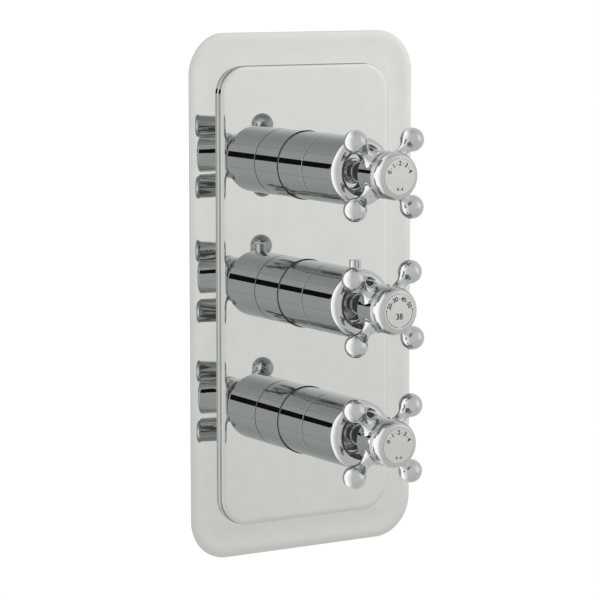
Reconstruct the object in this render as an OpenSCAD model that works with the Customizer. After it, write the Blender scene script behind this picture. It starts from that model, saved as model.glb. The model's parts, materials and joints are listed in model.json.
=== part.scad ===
// Concealed thermostatic shower valve with three cross-head controls, in millimetres.
// +X is right, +Z is up and +Y goes into the wall. The origin is the centre of the four
// wall fixings, in the plane of the fixing lugs' backs.

/* [Faceplate] */
// Width of the faceplate
plate_w = 152; // [140:1:180]
// Height of the faceplate
plate_h = 304; // [290:1:340]
// Corner radius of the faceplate's outline
plate_corner_r = 24; // [18:0.5:30]
// Thickness of the faceplate's metal
plate_t = 2.5; // [2:0.1:3.5]
// Rounding of the border's outer edge
plate_edge_r = 0.5; // [0.4:0.1:1.6]
// Width of the flat border round the raised panel
border_w = 19; // [15:0.5:24]
// Height of the raised panel above the border
panel_rise = 4; // [3:0.5:6]
// Corner radius of the raised panel's outline
panel_corner_r = 16.5; // [12:0.5:20]
// Rounding of the raised panel's front edge
panel_edge_r = 0.8; // [0.5:0.1:3]

/* [Controls] */
// Distance between neighbouring controls
control_spacing = 75; // [72:1:80]
// Outside radius of the sleeves and handle barrels
barrel_r = 19.75; // [19.5:0.05:21]
// Wall thickness of the sleeves and handle barrels
barrel_wall = 2; // [1.6:0.1:2.2]
// Length of a fixed sleeve in front of the panel
sleeve_len = 26; // [24:0.5:34]
// Seam between the fixed sleeve and the turning barrel
seam_gap = 0.3; // [0.2:0.05:0.6]
// Length of a turning handle barrel behind its shoulder
barrel_len = 30.6; // [29.4:0.2:35.4]
// Rise of the barrel's domed shoulder
shoulder_rise = 5; // [4:0.1:6]
// Radius of the lip where the shoulder meets the recess
shoulder_lip_r = 14.5; // [14:0.1:15.5]
// Radius of the recess round the neck
recess_r = 11.3; // [10.5:0.1:12]
// Distance from the shoulder's root back to the recess's floor
recess_depth = 7.4; // [5.9:0.5:8.4]

/* [Cross-heads] */
// Distance from the shoulder's root to the arms' axis
head_reach = 23.9; // [21:0.1:28]
// Radius of the neck between barrel and cross-head
neck_r = 5.6; // [5.2:0.1:6.2]
// Radius of the cross-head's hub
hub_r = 13.3; // [12.9:0.1:14.5]
// Length of the cross-head's plain hub
hub_len = 14.1; // [13.6:0.1:16]
// Distance from the control's axis to a ball's centre
ball_reach = 26.6; // [25:0.1:30]
// Radius of a ball end
ball_r = 6.75; // [6:0.05:7.4]
// Radius of an arm at its waist
waist_r = 3.1; // [2.6:0.1:3.6]
// Radius of an arm's flared root
arm_root_r = 6.3; // [5:0.1:6.5]
// Turn of the arms from upright
arm_turn = 45; // [0:1:90]
// Extra turn of the thermostat's cross-head on its splines
thermostat_head_turn = 2.9; // [0:0.1:15]

/* [Index caps] */
// Length of the beaded collar behind the bezel
bead_len = 2.8; // [2:0.1:4]
// Length of the bezel's plain rim
bezel_rim_len = 1.8; // [1:0.1:3]
// Height of the bezel's domed shoulder
bezel_dome_h = 4.4; // [3:0.1:5]
// Radius of the index disc
index_r = 10.1; // [8.5:0.1:10.4]
// Thickness of the index disc
index_t = 1.4; // [1:0.1:2]

/* [Safety button] */
// Radius of the safety button
button_r = 3.4; // [3:0.1:3.6]
// Height of the safety button above the barrel
button_rise = 5.1; // [4:0.1:7]
// Distance from the shoulder's root back to the button's axis
button_back = 4.9; // [4.9:0.1:5.9]
// Travel of the safety button
button_travel = 2; // [1.6:0.1:2.1]

/* [Handle turns] */
// Quarter turn that opens a flow control, in degrees
flow_turn = 90; // [80:1:90]
// Turn of the temperature handle from the safety stop to hottest, in degrees
hot_turn = 55; // [30:1:60]
// Turn of the temperature handle from the safety stop to coldest, in degrees
cold_turn = 210; // [150:5:210]
// Lead of the temperature spindle's thread
spindle_lead = 2; // [1:0.25:2]

/* [Body] */
// Depth of the finished wall's face in front of the fixing lugs' backs
wall_depth = 70; // [70:1:90]
// Sideways distance between the fixing holes
fixing_w = 54; // [54:1:58]
// Upright distance between the fixing holes
fixing_h = 80; // [76:1:84]
// Radius of a fixing hole
fixing_hole_r = 2.75; // [2.2:0.05:3.2]
// Radius inside the inlet thread, for 3/4 inch pipe thread
inlet_thread_r = 12.06; // [11.8:0.01:12.1]
// Length of the inlet thread
inlet_thread_len = 10.5; // [10:0.5:12]
// Radius inside the outlet thread, for 1/2 inch pipe thread
outlet_thread_r = 9.32; // [9:0.01:9.4]
// Length of the outlet thread
outlet_thread_len = 14; // [12:0.5:16]
// Inside radius of a flow control's chamber
flow_chamber_r = 12; // [12:0.1:12.6]
// Inside radius of the thermostat's chamber
thermostat_chamber_r = 17; // [17:0.1:17.6]
// Wall thickness of the cast body
cast_wall = 4; // [4:0.1:5]

/* [Hidden] */

$fn = 96;
// Running clearance round a turning or sliding shaft
run_gap = 0.05;
// Clearance between two pieces that are fixed together
slip_gap = 0.1;
// Clearance between two faces that pass each other
face_gap = 0.3;
// How far a cut runs past the face that it opens
overrun = 1;
// Points in a quarter of a rounded edge
edge_steps = 8;
// Points in the outline of a barrel's shoulder
shoulder_steps = 12;
// Points along an arm's flare and along its rise to the ball
flare_steps = 8;
// Rings in one turn of a spring, and sides of its wire
coil_steps = 12;
coil_sides = 6;

// Heights of the controls
top_z = control_spacing;
bottom_z = -control_spacing;
control_heights = [top_z, 0, bottom_z];

// Depths out from the lugs' backs: the plate
border_front = wall_depth + plate_t;
panel_front = border_front + panel_rise;
panel_back = panel_front - plate_t;
panel_w = plate_w - 2 * border_w;
panel_h = plate_h - 2 * border_w;
gasket_w = 6;
gasket_t = 1;
gasket_inset = 4;

// The sleeves
barrel_bore_r = barrel_r - barrel_wall;
web_t = 3;
web_set_back = 2;
web_back = wall_depth - web_set_back;
web_front = web_back + web_t;
sleeve_end = panel_front + sleeve_len;
sleeve_hole_r = barrel_r + face_gap;
ring_wire_r = 1;
ring_groove_depth = 0.8;
ring_depth = panel_back - ring_wire_r - slip_gap;
ring_mean_r = barrel_r - ring_groove_depth + ring_wire_r + slip_gap;
lock_nut_r = 11.5;
lock_nut_t = 4;

// The barrels
barrel_back = sleeve_end + seam_gap;
barrel_front = barrel_back + barrel_len;
recess_wall = 2;
cup_r = recess_r + recess_wall;
mouth_rise = 0.6;
shoulder_lip_w = 0.5;
shoulder_lip_drop = 0.4;
shoulder_t = 2;
cup_rise = 1;
floor_t = 3;
floor_front = barrel_front - recess_depth;
floor_back = floor_front - floor_t;
button_depth = barrel_front - button_back;

// The guide bushes between sleeve and barrel
bush_wall = 2;
bush_r = barrel_bore_r - run_gap;
bush_reach = 6;
bush_back = sleeve_end - bush_reach;
bush_front = barrel_back + bush_reach;

// The headworks' tubes and the spindles
tube_r = 8;
spindle_r = 4.5;
spline_r = 4;
spline_sides = 12;
collar_r = 6.5;
collar_t = 2;
collar_back = floor_back - collar_t;
clip_space = 3;
tube_front = collar_back - clip_space;
clip_t = 1;
clip_bite = 0.6;
clip_r = 6.2;
clip_opening = 40;

// The neck, the cross-head and the index cap
arm_axis = barrel_front + head_reach;
hub_back = arm_axis - hub_len / 2;
hub_front = arm_axis + hub_len / 2;
neck_base_r = 7.2;
neck_base_t = 2;
neck_bead_w = 1.6;
neck_bead_set_back = 1.4;
neck_bead_back = barrel_front - neck_bead_set_back;
spigot_inset = 0.6;
spigot_r = neck_r - spigot_inset;
spigot_len = 2;
hub_wall = 3.1;
hub_cavity_r = hub_r - hub_wall;
hub_web_t = 2.2;
hub_web_set_back = 0.5;
hub_web_back = arm_axis - hub_web_set_back;
hub_web_front = hub_web_back + hub_web_t;
spindle_front = hub_web_back - slip_gap;
bead_r = bead_len / 4;
bezel_back = hub_front + bead_len;
bezel_rim_front = bezel_back + bezel_rim_len;
bezel_front = bezel_rim_front + bezel_dome_h;
bezel_proud = 0.1;
bezel_r = hub_r + bezel_proud;
bezel_skirt_len = 4;
bezel_skirt_wall = 1.5;
index_proud = 0.2;
waist_back = 8.6;
ball_join_back = 4.8;
arm_root_sunk = 2.3;
arm_root = hub_r - arm_root_sunk;
arm_flare_sunk = 0.8;
arm_flare_start = hub_r - arm_flare_sunk;

// The handle screws
screw_r = 2;
screw_head_r = 3.5;
screw_head_t = 3.4;
screw_len = 9;
screw_socket_r = 1.7;
screw_socket_depth = 2;

// The safety button, its spring and its catch
button_top_r = barrel_r + button_rise;
button_edge_r = 0.5;
button_flange_w = 0.4;
button_flange_r = button_r + button_flange_w;
button_flange_t = 0.8;
button_flange_gap = 0.35;
button_flange_top = sqrt(pow(barrel_bore_r, 2) - pow(button_flange_r, 2)) - button_flange_gap;
button_flange_bottom = button_flange_top - button_flange_t;
catch_w = 4;
button_spring_r = 2.5;
button_wire_r = 0.2;
button_spring_turns = 2;

// The stop ring
stop_ring_t = 4;
stop_ring_set_back = 8;
stop_ring_back = tube_front - stop_ring_set_back;
stop_ring_front = stop_ring_back + stop_ring_t;
catch_end_gap = 0.5;
catch_end = stop_ring_back + catch_end_gap;
stop_ring_r = button_flange_bottom - button_travel - face_gap;
stop_lug_r = barrel_bore_r - face_gap;
catch_half_angle = asin(catch_w / 2 / button_flange_bottom);
stop_margin = 2;
stop_lug_start = hot_turn + catch_half_angle + stop_margin;
stop_lug_end = 360 - cold_turn - catch_half_angle - stop_margin;
mark_r = 0.8;

// The cast body
thermostat_extra_wall = 1;
thermostat_wall = cast_wall + thermostat_extra_wall;
thermostat_body_r = thermostat_chamber_r + thermostat_wall;
flow_body_r = flow_chamber_r + cast_wall;
body_back = 8;
flow_front = 56;
thermostat_front = 60;
gallery_depth = 16;
gallery_r = 6;
gallery_body_r = gallery_r + cast_wall;
pocket_r = 8;
pocket_back = 10;
seat_depth = 22;
chamber_back = 12;
lug_r = 7.5;
lug_t = 6;
lug_post_r = 9;

// The inlets and the outlets
inlet_depth = 32;
inlet_socket_len = 10.5;
inlet_boss_reach = 9;
inlet_boss_end = thermostat_body_r + inlet_boss_reach;
inlet_socket_back = inlet_boss_end - inlet_socket_len;
spigot_wall = 1.1;
socket_wall = 3.2;
inlet_spigot_r = inlet_thread_r + spigot_wall;
inlet_socket_r = inlet_spigot_r + slip_gap;
inlet_boss_r = inlet_socket_r + socket_wall;
washer_t = 1.2;
union_shoulder = 1;
inlet_union_start = inlet_boss_end + washer_t;
inlet_union_end = inlet_union_start + union_shoulder + inlet_thread_len;
inlet_union_wall = 4.2;
inlet_flat_wall = 3;
inlet_union_r = inlet_thread_r + inlet_union_wall;
inlet_flat = inlet_thread_r + inlet_flat_wall;
inlet_bore_r = 9.6;
feed_r = 4;
hot_feed_offset = 6;
cold_feed_offset = 5.5;
hot_feed_depth = inlet_depth - hot_feed_offset;
cold_feed_depth = inlet_depth + cold_feed_offset;
outlet_depth = 33;
outlet_passage_r = 6;
outlet_boss_start = control_spacing;
outlet_boss_len = 37;
outlet_boss_end = outlet_boss_start + outlet_boss_len;
outlet_socket_len = 10.5;
outlet_socket_back = outlet_boss_end - outlet_socket_len;
outlet_boss_wall = 3.5;
outlet_spigot_r = outlet_thread_r + spigot_wall;
outlet_socket_r = outlet_spigot_r + slip_gap;
outlet_boss_r = outlet_socket_r + outlet_boss_wall;
outlet_union_start = outlet_boss_end + washer_t;
outlet_union_shoulder = 3;
outlet_union_end = outlet_union_start + outlet_union_shoulder + outlet_thread_len;
outlet_union_wall = 4.7;
outlet_flat_wall = 3.7;
outlet_union_r = outlet_thread_r + outlet_union_wall;
outlet_flat = outlet_thread_r + outlet_flat_wall;
outlet_bore_r = 7;

// The non-return valves, measured out from the control's axis
cage_r = inlet_bore_r - slip_gap;
cage_set_in = 1.5;
cage_back = inlet_socket_back + cage_set_in;
cage_len = 8.5;
cage_front = cage_back + cage_len;
cage_bore_r = 8;
cage_web_t = 1.5;
cage_seat_t = 1.5;
cage_seat_r = 5;
cage_port_r = 1.7;
cage_port_circle_r = 5;
poppet_r = 6;
poppet_t = 1.7;
poppet_travel = 2;
poppet_stem_r = 1.5;
poppet_front = cage_front - cage_seat_t - slip_gap;
poppet_back = poppet_front - poppet_t;
stem_back = cage_back + cage_web_t / 2;
check_spring_r = 3;
check_wire_r = 0.25;
check_spring_turns = 3;
strainer_t = 1.2;
strainer_hole_r = 0.9;
strainer_pitch = 2.7;
strainer_back = cage_front + slip_gap;

// The flow controls' headworks and ceramic discs
headwork_r = flow_chamber_r - slip_gap;
headwork_bore_r = 9.6;
seal_t = 2;
seal_bite = 1;
headwork_back = seat_depth + seal_bite;
disc_r = headwork_bore_r - slip_gap;
disc_t = 3;
fixed_disc_back = seat_depth + seal_t;
moving_disc_back = fixed_disc_back + disc_t + run_gap;
moving_disc_front = moving_disc_back + disc_t;
port_in_r = 2.5;
port_out_r = 8;
port_angle = 80;
dog_w = 3;
dog_len = 15;
dog_depth = 1.5;
foot_w = 5;
foot_t = 3;
foot_back = moving_disc_front + run_gap;
foot_front = foot_back + foot_t;
window_w = 13;
window_len = 5;
window_lip = 0.5;
window_back = moving_disc_front + window_lip;
window_front = window_back + window_len;
window_clearance = 1;
headwork_cavity_front = window_front + window_clearance;
headwork_hex_r = 14;
headwork_hex_t = 6;
shoulder_r = 10.5;

// The thermostatic cartridge
housing_r = thermostat_chamber_r - slip_gap;
housing_back = chamber_back + slip_gap;
housing_flange_inset = 1;
housing_flange_r = thermostat_body_r - housing_flange_inset;
housing_flange_t = 3.5;
housing_flange_front = thermostat_front + housing_flange_t;
shuttle_bore_r = 10;
housing_lip_t = 1.5;
housing_lip_r = 7;
outlet_window_w = 6;
outlet_window_len = 4.5;
outlet_window_back = housing_back + housing_lip_t;
outlet_window_front = outlet_window_back + outlet_window_len;
feed_groove_w = 5;
feed_groove_depth = 1.5;
feed_hole_r = 2;
feed_holes = 8;
o_ring_wire_r = 1;
o_ring_groove_depth = 1.9;
o_ring_mean_r = housing_r - o_ring_wire_r;
o_ring_depths = [
    (outlet_window_front + hot_feed_depth - feed_groove_w / 2) / 2,
    (hot_feed_depth + cold_feed_depth) / 2,
    cold_feed_depth + feed_groove_w / 2 + 2 * o_ring_wire_r
];
bonnet_bore_offset = 10;
bonnet_bore_back = cold_feed_depth + bonnet_bore_offset;
bonnet_r = 13;
bonnet_hex_r = 16;
nut_r = 8.6;
nut_sides = 6;
nut_gap = 0.15;
nut_stand_out = 1;
nut_back = bonnet_bore_back - nut_stand_out;
nut_len = 16;
nut_front = nut_back + nut_len;
nut_spring_r = 5.5;
nut_thread_len = 6;
nut_floor_back = nut_front - nut_thread_len;
spindle_tip_r = 3.5;
spindle_tip_gap = 1;
spindle_tip_relief = 2;
spindle_tip_back = nut_floor_back + spindle_tip_gap;
spindle_tip_front = nut_front + spindle_tip_relief;
bonnet_cavity_front = spindle_tip_front;
shuttle_r = shuttle_bore_r - run_gap;
shuttle_wall = 1.4;
shuttle_overlap = 1;
shuttle_len = cold_feed_depth - hot_feed_depth - feed_groove_w / 2 + shuttle_overlap;
shuttle_back = hot_feed_depth + feed_groove_w / 4;
shuttle_front = shuttle_back + shuttle_len;
shuttle_skirt_len = 2;
shuttle_web_back = shuttle_back + shuttle_skirt_len;
shuttle_web_t = 2.5;
shuttle_hole_r = 1.3;
shuttle_hole_circle_r = 6.2;
element_r = 5;
element_back = housing_back + housing_lip_t;
element_flange_r = 6;
element_flange_t = 2;
element_stem_r = 3.5;
element_stem_stand_out = 2;
element_stem_front = shuttle_front + element_stem_stand_out;
piston_r = 1.5;
push_plate_r = 4.8;
push_plate_t = 1.5;
push_plate_set_in = 2;
push_plate_back = nut_back + push_plate_set_in;
return_spring_r = 7.9;
return_wire_r = 0.55;
return_spring_turns = 4;
overload_spring_r = 4.2;
overload_wire_r = 0.5;
overload_spring_turns = 4;

// Points on an arc, from one angle to another
function arc(cx, cy, r, from, to) =
    [for (i = [0:edge_steps]) let (a = from + (to - from) * i / edge_steps)
        [cx + r * cos(a), cy + r * sin(a)]];

// Radius of an arm at a distance from the control's axis, from its flared root to its waist
function flare_r(s) =
    waist_r + (arm_root_r - waist_r) * pow(1 - (s - arm_flare_start) / (ball_reach - waist_back - arm_flare_start), 2);

// Radius of an arm between its waist and the place where it meets the ball
ball_join_r = sqrt(pow(ball_r, 2) - pow(ball_join_back, 2));
function rise_r(share) = waist_r + (ball_join_r - waist_r) * pow(share, 2);

// Puts children on a control's axis: their +Z points out of the wall and their +Y points up
module at_control(z) {
    translate([0, 0, z]) rotate([90, 0, 0]) children();
}

// Puts children on the inlets' axis: their +Z points away from the control's axis
module at_inlet(side) {
    translate([0, -inlet_depth, 0]) rotate([0, side * 90, 0]) children();
}

// Puts children on an outlet's axis: their +Z points up at the top outlet and down at the other
module at_outlet(side) {
    translate([0, -outlet_depth, 0]) rotate([side > 0 ? 0 : 180, 0, 0]) children();
}

module ring(back, front, inner_r, outer_r) {
    translate([0, 0, back]) difference() {
        cylinder(h = front - back, r = outer_r);
        translate([0, 0, -overrun]) cylinder(h = front - back + 2 * overrun, r = inner_r);
    }
}

module rod(back, front, r) {
    translate([0, 0, back]) cylinder(h = front - back, r = r);
}

module torus(depth, mean_r, wire_r) {
    translate([0, 0, depth]) rotate_extrude() translate([mean_r, 0]) circle(r = wire_r, $fn = 32);
}

module rounded_rect(w, h, r) {
    square([w - 2 * r, h], center = true);
    square([w, h - 2 * r], center = true);
    for (sx = [-1, 1], sy = [-1, 1]) translate([sx * (w / 2 - r), sy * (h / 2 - r)]) circle(r = r);
}

// Rounded slab from depth 0 to t whose front edge is rounded by edge
module moulded_slab(w, h, r, t, edge) {
    section = concat([[0, 0], [r, 0]], arc(r - edge, t - edge, edge, 0, 90), [[0, t]]);
    for (sx = [0, 1], sy = [0, 1])
        mirror([sx, 0, 0]) mirror([0, sy, 0]) translate([w / 2 - r, h / 2 - r, 0])
            rotate_extrude(angle = 90) polygon(section);
    for (sx = [0, 1]) mirror([sx, 0, 0]) translate([w / 2 - r, h / 2 - r, 0])
        rotate([90, 0, 0]) linear_extrude(height = h - 2 * r) polygon(section);
    for (sy = [0, 1]) mirror([0, sy, 0]) translate([r - w / 2, h / 2 - r, 0])
        rotate([90, 0, 90]) linear_extrude(height = w - 2 * r) polygon(section);
    translate([r - w / 2, r - h / 2, 0]) cube([w - 2 * r, h - 2 * r, t]);
}

// Round-wire compression spring along +Z
module coil(back, front, mean_r, wire_r, turns) {
    n = round(turns * coil_steps);
    climb = (front - back - 2 * wire_r) / n;
    points = [for (i = [0:n], j = [0:coil_sides - 1])
        let (a = 360 * i / coil_steps, b = 360 * j / coil_sides, r = mean_r + wire_r * cos(b))
        [r * cos(a), r * sin(a), back + wire_r + climb * i + wire_r * sin(b)]];
    walls = [for (i = [0:n - 1], j = [0:coil_sides - 1])
        let (a = i * coil_sides + j, b = i * coil_sides + (j + 1) % coil_sides)
        each [[a, b, b + coil_sides], [a, b + coil_sides, a + coil_sides]]];
    start = [[for (j = [coil_sides - 1:-1:0]) j]];
    finish = [[for (j = [0:coil_sides - 1]) n * coil_sides + j]];
    polyhedron(points = points, faces = concat(walls, start, finish), convexity = 8);
}

module faceplate() {
    color("gainsboro") at_control(0) difference() {
        union() {
            translate([0, 0, wall_depth]) moulded_slab(plate_w, plate_h, plate_corner_r, plate_t, plate_edge_r);
            translate([0, 0, wall_depth])
                moulded_slab(panel_w, panel_h, panel_corner_r, plate_t + panel_rise, panel_edge_r);
        }
        translate([0, 0, wall_depth - overrun]) linear_extrude(height = panel_rise + overrun)
            rounded_rect(panel_w - 2 * plate_t, panel_h - 2 * plate_t, panel_corner_r - plate_t);
        translate([0, 0, wall_depth - overrun]) linear_extrude(height = gasket_t + overrun)
            gasket_outline(0);
        for (z = control_heights) translate([0, z, 0])
            rod(wall_depth, panel_front + overrun, sleeve_hole_r);
    }
}

module gasket_outline(gap) {
    outer = gasket_inset + gap;
    inner = gasket_inset + gasket_w - gap;
    difference() {
        rounded_rect(plate_w - 2 * outer, plate_h - 2 * outer, plate_corner_r - outer);
        rounded_rect(plate_w - 2 * inner, plate_h - 2 * inner, plate_corner_r - inner);
    }
}

module plate_gasket() {
    color("dimgray") at_control(0) translate([0, 0, wall_depth])
        linear_extrude(height = gasket_t) gasket_outline(slip_gap);
}

module sleeve(z) {
    color("silver") at_control(z) difference() {
        rod(web_back, sleeve_end, barrel_r);
        rod(web_front, sleeve_end + overrun, barrel_bore_r);
        rod(web_back - overrun, web_front + overrun, tube_r + slip_gap);
        ring(ring_depth - ring_wire_r - slip_gap, ring_depth + ring_wire_r + slip_gap,
            barrel_r - ring_groove_depth, barrel_r + overrun);
    }
}

module sleeve_o_rings() {
    color("black") for (z = control_heights) at_control(z) torus(ring_depth, ring_mean_r, ring_wire_r);
}

module sleeve_lock_nuts() {
    color("goldenrod") for (z = control_heights) at_control(z) difference() {
        translate([0, 0, web_front]) cylinder(h = lock_nut_t, r = lock_nut_r, $fn = 6);
        rod(web_front - overrun, web_front + lock_nut_t + overrun, tube_r + slip_gap);
    }
}

module guide_bushes() {
    color("ivory") for (z = control_heights) at_control(z)
        ring(bush_back, bush_front, bush_r - bush_wall, bush_r);
}

// Quarter of an ellipse from radius r at a depth, inward to radius end and out by rise
function shoulder_arc(r, end, depth, rise) = [for (i = [0:shoulder_steps])
    let (a = 90 * i / shoulder_steps) [end + (r - end) * cos(a), depth + rise * sin(a)]];

// Outline of a handle barrel: wall, domed shoulder, tapered recess, floor and hollow inside
module barrel_section() {
    polygon(concat(
        [[barrel_bore_r, barrel_back], [barrel_r, barrel_back]],
        shoulder_arc(barrel_r, shoulder_lip_r, barrel_front, shoulder_rise),
        [[shoulder_lip_r - shoulder_lip_w, barrel_front + shoulder_rise - shoulder_lip_drop],
         [recess_r, barrel_front + mouth_rise], [recess_r, floor_front],
         [spline_r + slip_gap, floor_front], [spline_r + slip_gap, floor_back], [cup_r, floor_back],
         [cup_r, barrel_front + cup_rise]],
        [for (i = [shoulder_steps:-1:0])
            shoulder_arc(barrel_bore_r, shoulder_lip_r, barrel_front, shoulder_rise - shoulder_t)[i]]
    ));
}

module barrel(z) {
    color("silver") at_control(z) rotate_extrude() barrel_section();
}

module thermostat_barrel() {
    color("silver") at_control(0) difference() {
        rotate_extrude() barrel_section();
        translate([0, barrel_bore_r - barrel_wall, button_depth]) rotate([-90, 0, 0])
            cylinder(h = 2 * barrel_wall + overrun, r = button_r + run_gap);
    }
}

module neck(z) {
    color("silver") at_control(z) rotate_extrude() polygon(concat(
        [[spline_r + slip_gap, floor_front], [neck_base_r, floor_front],
         [neck_base_r, floor_front + neck_base_t], [neck_r, floor_front + neck_base_t],
         [neck_r, neck_bead_back]],
        arc(neck_r, neck_bead_back + neck_bead_w / 2, neck_bead_w / 2, -90, 90),
        [[neck_r, hub_back - slip_gap], [spigot_r, hub_back - slip_gap],
         [spigot_r, hub_back + spigot_len], [spline_r + slip_gap, hub_back + spigot_len]]
    ));
}

// One arm along +Z from the control's axis, with its ball end
module arm() {
    waist_at = ball_reach - waist_back;
    join_at = ball_reach - ball_join_back;
    rotate_extrude() polygon(concat(
        [[0, arm_root], [flare_r(arm_flare_start), arm_root]],
        [for (i = [0:flare_steps]) let (s = arm_flare_start + (waist_at - arm_flare_start) * i / flare_steps)
            [flare_r(s), s]],
        [for (i = [1:flare_steps]) [rise_r(i / flare_steps), waist_at + (join_at - waist_at) * i / flare_steps]],
        [[0, ball_reach]]
    ));
    translate([0, 0, ball_reach]) sphere(r = ball_r);
}

module cross_head(z, turn) {
    color("silver") at_control(z) difference() {
        union() {
            rotate_extrude() polygon(concat(
                [[0, hub_back], [hub_r, hub_back], [hub_r, hub_front], [hub_r - bead_r, hub_front]],
                arc(hub_r - bead_r, hub_front + bead_r, bead_r, -90, 90),
                arc(hub_r - bead_r, hub_front + 3 * bead_r, bead_r, -90, 90),
                [[0, bezel_back]]
            ));
            translate([0, 0, arm_axis]) for (k = [0:3]) rotate([0, 0, turn + 90 * k]) rotate([0, 90, 0]) arm();
        }
        rod(hub_back - overrun, hub_back + spigot_len + slip_gap, spigot_r + slip_gap);
        translate([0, 0, hub_back])
            cylinder(h = hub_web_back - hub_back, r = spline_r + slip_gap, $fn = spline_sides);
        rod(hub_web_back - overrun, hub_web_front + overrun, screw_r + slip_gap);
        rod(hub_web_front, bezel_back + overrun, hub_cavity_r);
    }
}

module bezel(z) {
    skirt_r = hub_cavity_r - slip_gap;
    seat = bezel_front - index_t + index_proud;
    dome_r = bezel_r - index_r - slip_gap - index_proud;
    color("silver") at_control(z) rotate_extrude() polygon(concat(
        [[skirt_r - bezel_skirt_wall, bezel_back - bezel_skirt_len], [skirt_r, bezel_back - bezel_skirt_len],
         [skirt_r, bezel_back], [bezel_r, bezel_back], [bezel_r, bezel_rim_front]],
        [for (i = [1:edge_steps]) let (a = 90 * i / edge_steps)
            [bezel_r - dome_r + dome_r * cos(a), bezel_rim_front + bezel_dome_h * sin(a)]],
        [[index_r + slip_gap, bezel_front], [index_r + slip_gap, seat], [0, seat],
         [0, seat - bezel_skirt_wall], [skirt_r - bezel_skirt_wall, seat - bezel_skirt_wall]]
    ));
}

module index_disc(z) {
    seat = bezel_front - index_t + index_proud;
    color("whitesmoke") at_control(z) rotate_extrude() polygon([
        [0, seat], [index_r, seat], [index_r, bezel_front],
        [index_r - index_proud, bezel_front + index_proud], [0, bezel_front + index_proud]
    ]);
}

module handle_screw(z) {
    color("darkgray") at_control(z) difference() {
        union() {
            rod(hub_web_front, hub_web_front + screw_head_t, screw_head_r);
            rod(hub_web_front - hub_web_t - screw_len, hub_web_front, screw_r);
        }
        translate([0, 0, hub_web_front + screw_head_t - screw_socket_depth])
            cylinder(h = screw_socket_depth + overrun, r = screw_socket_r, $fn = 6);
    }
}

// Front end of a spindle: shaft, clip groove, collar, splines and screw hole
module spindle_front_end(shaft_back) {
    difference() {
        union() {
            rod(shaft_back, collar_back, spindle_r);
            rod(collar_back, floor_back, collar_r);
            translate([0, 0, floor_back])
                cylinder(h = spindle_front - floor_back, r = spline_r, $fn = spline_sides);
        }
        ring(tube_front, tube_front + clip_t + 2 * slip_gap, spindle_r - clip_bite, spindle_r + overrun);
        rod(hub_web_front - hub_web_t - screw_len - slip_gap, spindle_front + overrun, screw_r + slip_gap);
    }
}

module spindle_clip(z) {
    color("slategray") at_control(z) translate([0, 0, tube_front + slip_gap]) rotate([0, 0, clip_opening / 2])
        rotate_extrude(angle = 360 - clip_opening) translate([spindle_r - clip_bite + run_gap, 0])
            square([clip_r - spindle_r + clip_bite, clip_t]);
}

module flow_spindle(z) {
    color("khaki") at_control(z) {
        spindle_front_end(foot_front);
        intersection() {
            rod(moving_disc_front - dog_depth + slip_gap, foot_front, dog_len / 2);
            union() {
                translate([-dog_len, -foot_w / 2, foot_back]) cube([2 * dog_len, foot_w, foot_front - foot_back]);
                translate([-dog_len, -dog_w / 2, moving_disc_front - dog_depth])
                    cube([2 * dog_len, dog_w, foot_front - moving_disc_front + dog_depth]);
            }
        }
    }
}

// Two opposite ports of a ceramic disc
module disc_ports(back, front) {
    for (a = [0, 180]) rotate([0, 0, a - port_angle / 2]) translate([0, 0, back - overrun])
        rotate_extrude(angle = port_angle) translate([port_in_r, 0])
            square([port_out_r - port_in_r, front - back + 2 * overrun]);
}

module fixed_ceramic_discs() {
    color("white") for (z = [top_z, bottom_z]) at_control(z) difference() {
        rod(fixed_disc_back, fixed_disc_back + disc_t, disc_r);
        disc_ports(fixed_disc_back, fixed_disc_back + disc_t);
    }
}

module moving_disc(z) {
    color("white") at_control(z) difference() {
        rod(moving_disc_back, moving_disc_front, disc_r);
        rotate([0, 0, 90]) disc_ports(moving_disc_back, moving_disc_front);
        translate([-disc_r - overrun, -dog_w / 2 - slip_gap, moving_disc_front - dog_depth])
            cube([2 * (disc_r + overrun), dog_w + 2 * slip_gap, dog_depth + overrun]);
    }
}

module seat_seals() {
    color("black") for (z = [top_z, bottom_z]) at_control(z)
        ring(seat_depth, fixed_disc_back, pocket_r, disc_r);
}

module headwork(z) {
    color("goldenrod") at_control(z) difference() {
        union() {
            rod(headwork_back, flow_front, headwork_r);
            translate([0, 0, flow_front]) cylinder(h = headwork_hex_t, r = headwork_hex_r, $fn = 6);
            rod(flow_front + headwork_hex_t, web_back, shoulder_r);
            rod(web_back, tube_front, tube_r);
        }
        rod(headwork_back - overrun, headwork_cavity_front, headwork_bore_r);
        rod(headwork_cavity_front - overrun, tube_front + overrun, spindle_r + run_gap);
        translate([-window_w / 2, -flow_chamber_r - overrun, window_back])
            cube([window_w, 2 * (flow_chamber_r + overrun), window_front - window_back]);
    }
}

// Outside of the cast body
module body_casting() {
    at_control(0) rod(body_back, thermostat_front, thermostat_body_r);
    for (z = [top_z, bottom_z]) at_control(z) rod(body_back, flow_front, flow_body_r);
    translate([0, -gallery_depth, bottom_z]) cylinder(h = top_z - bottom_z, r = gallery_body_r);
    for (side = [-1, 1]) {
        at_inlet(side) rod(0, inlet_boss_end, inlet_boss_r);
        at_outlet(side) rod(outlet_boss_start, outlet_boss_end, outlet_boss_r);
        at_control(side * fixing_h / 2) {
            rod(0, gallery_depth, lug_post_r);
            for (x = [-1, 1]) translate([x * fixing_w / 2, 0, 0]) rod(0, lug_t, lug_r);
            translate([-fixing_w / 2, -lug_r, 0]) cube([fixing_w, 2 * lug_r, lug_t]);
        }
    }
}

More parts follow.
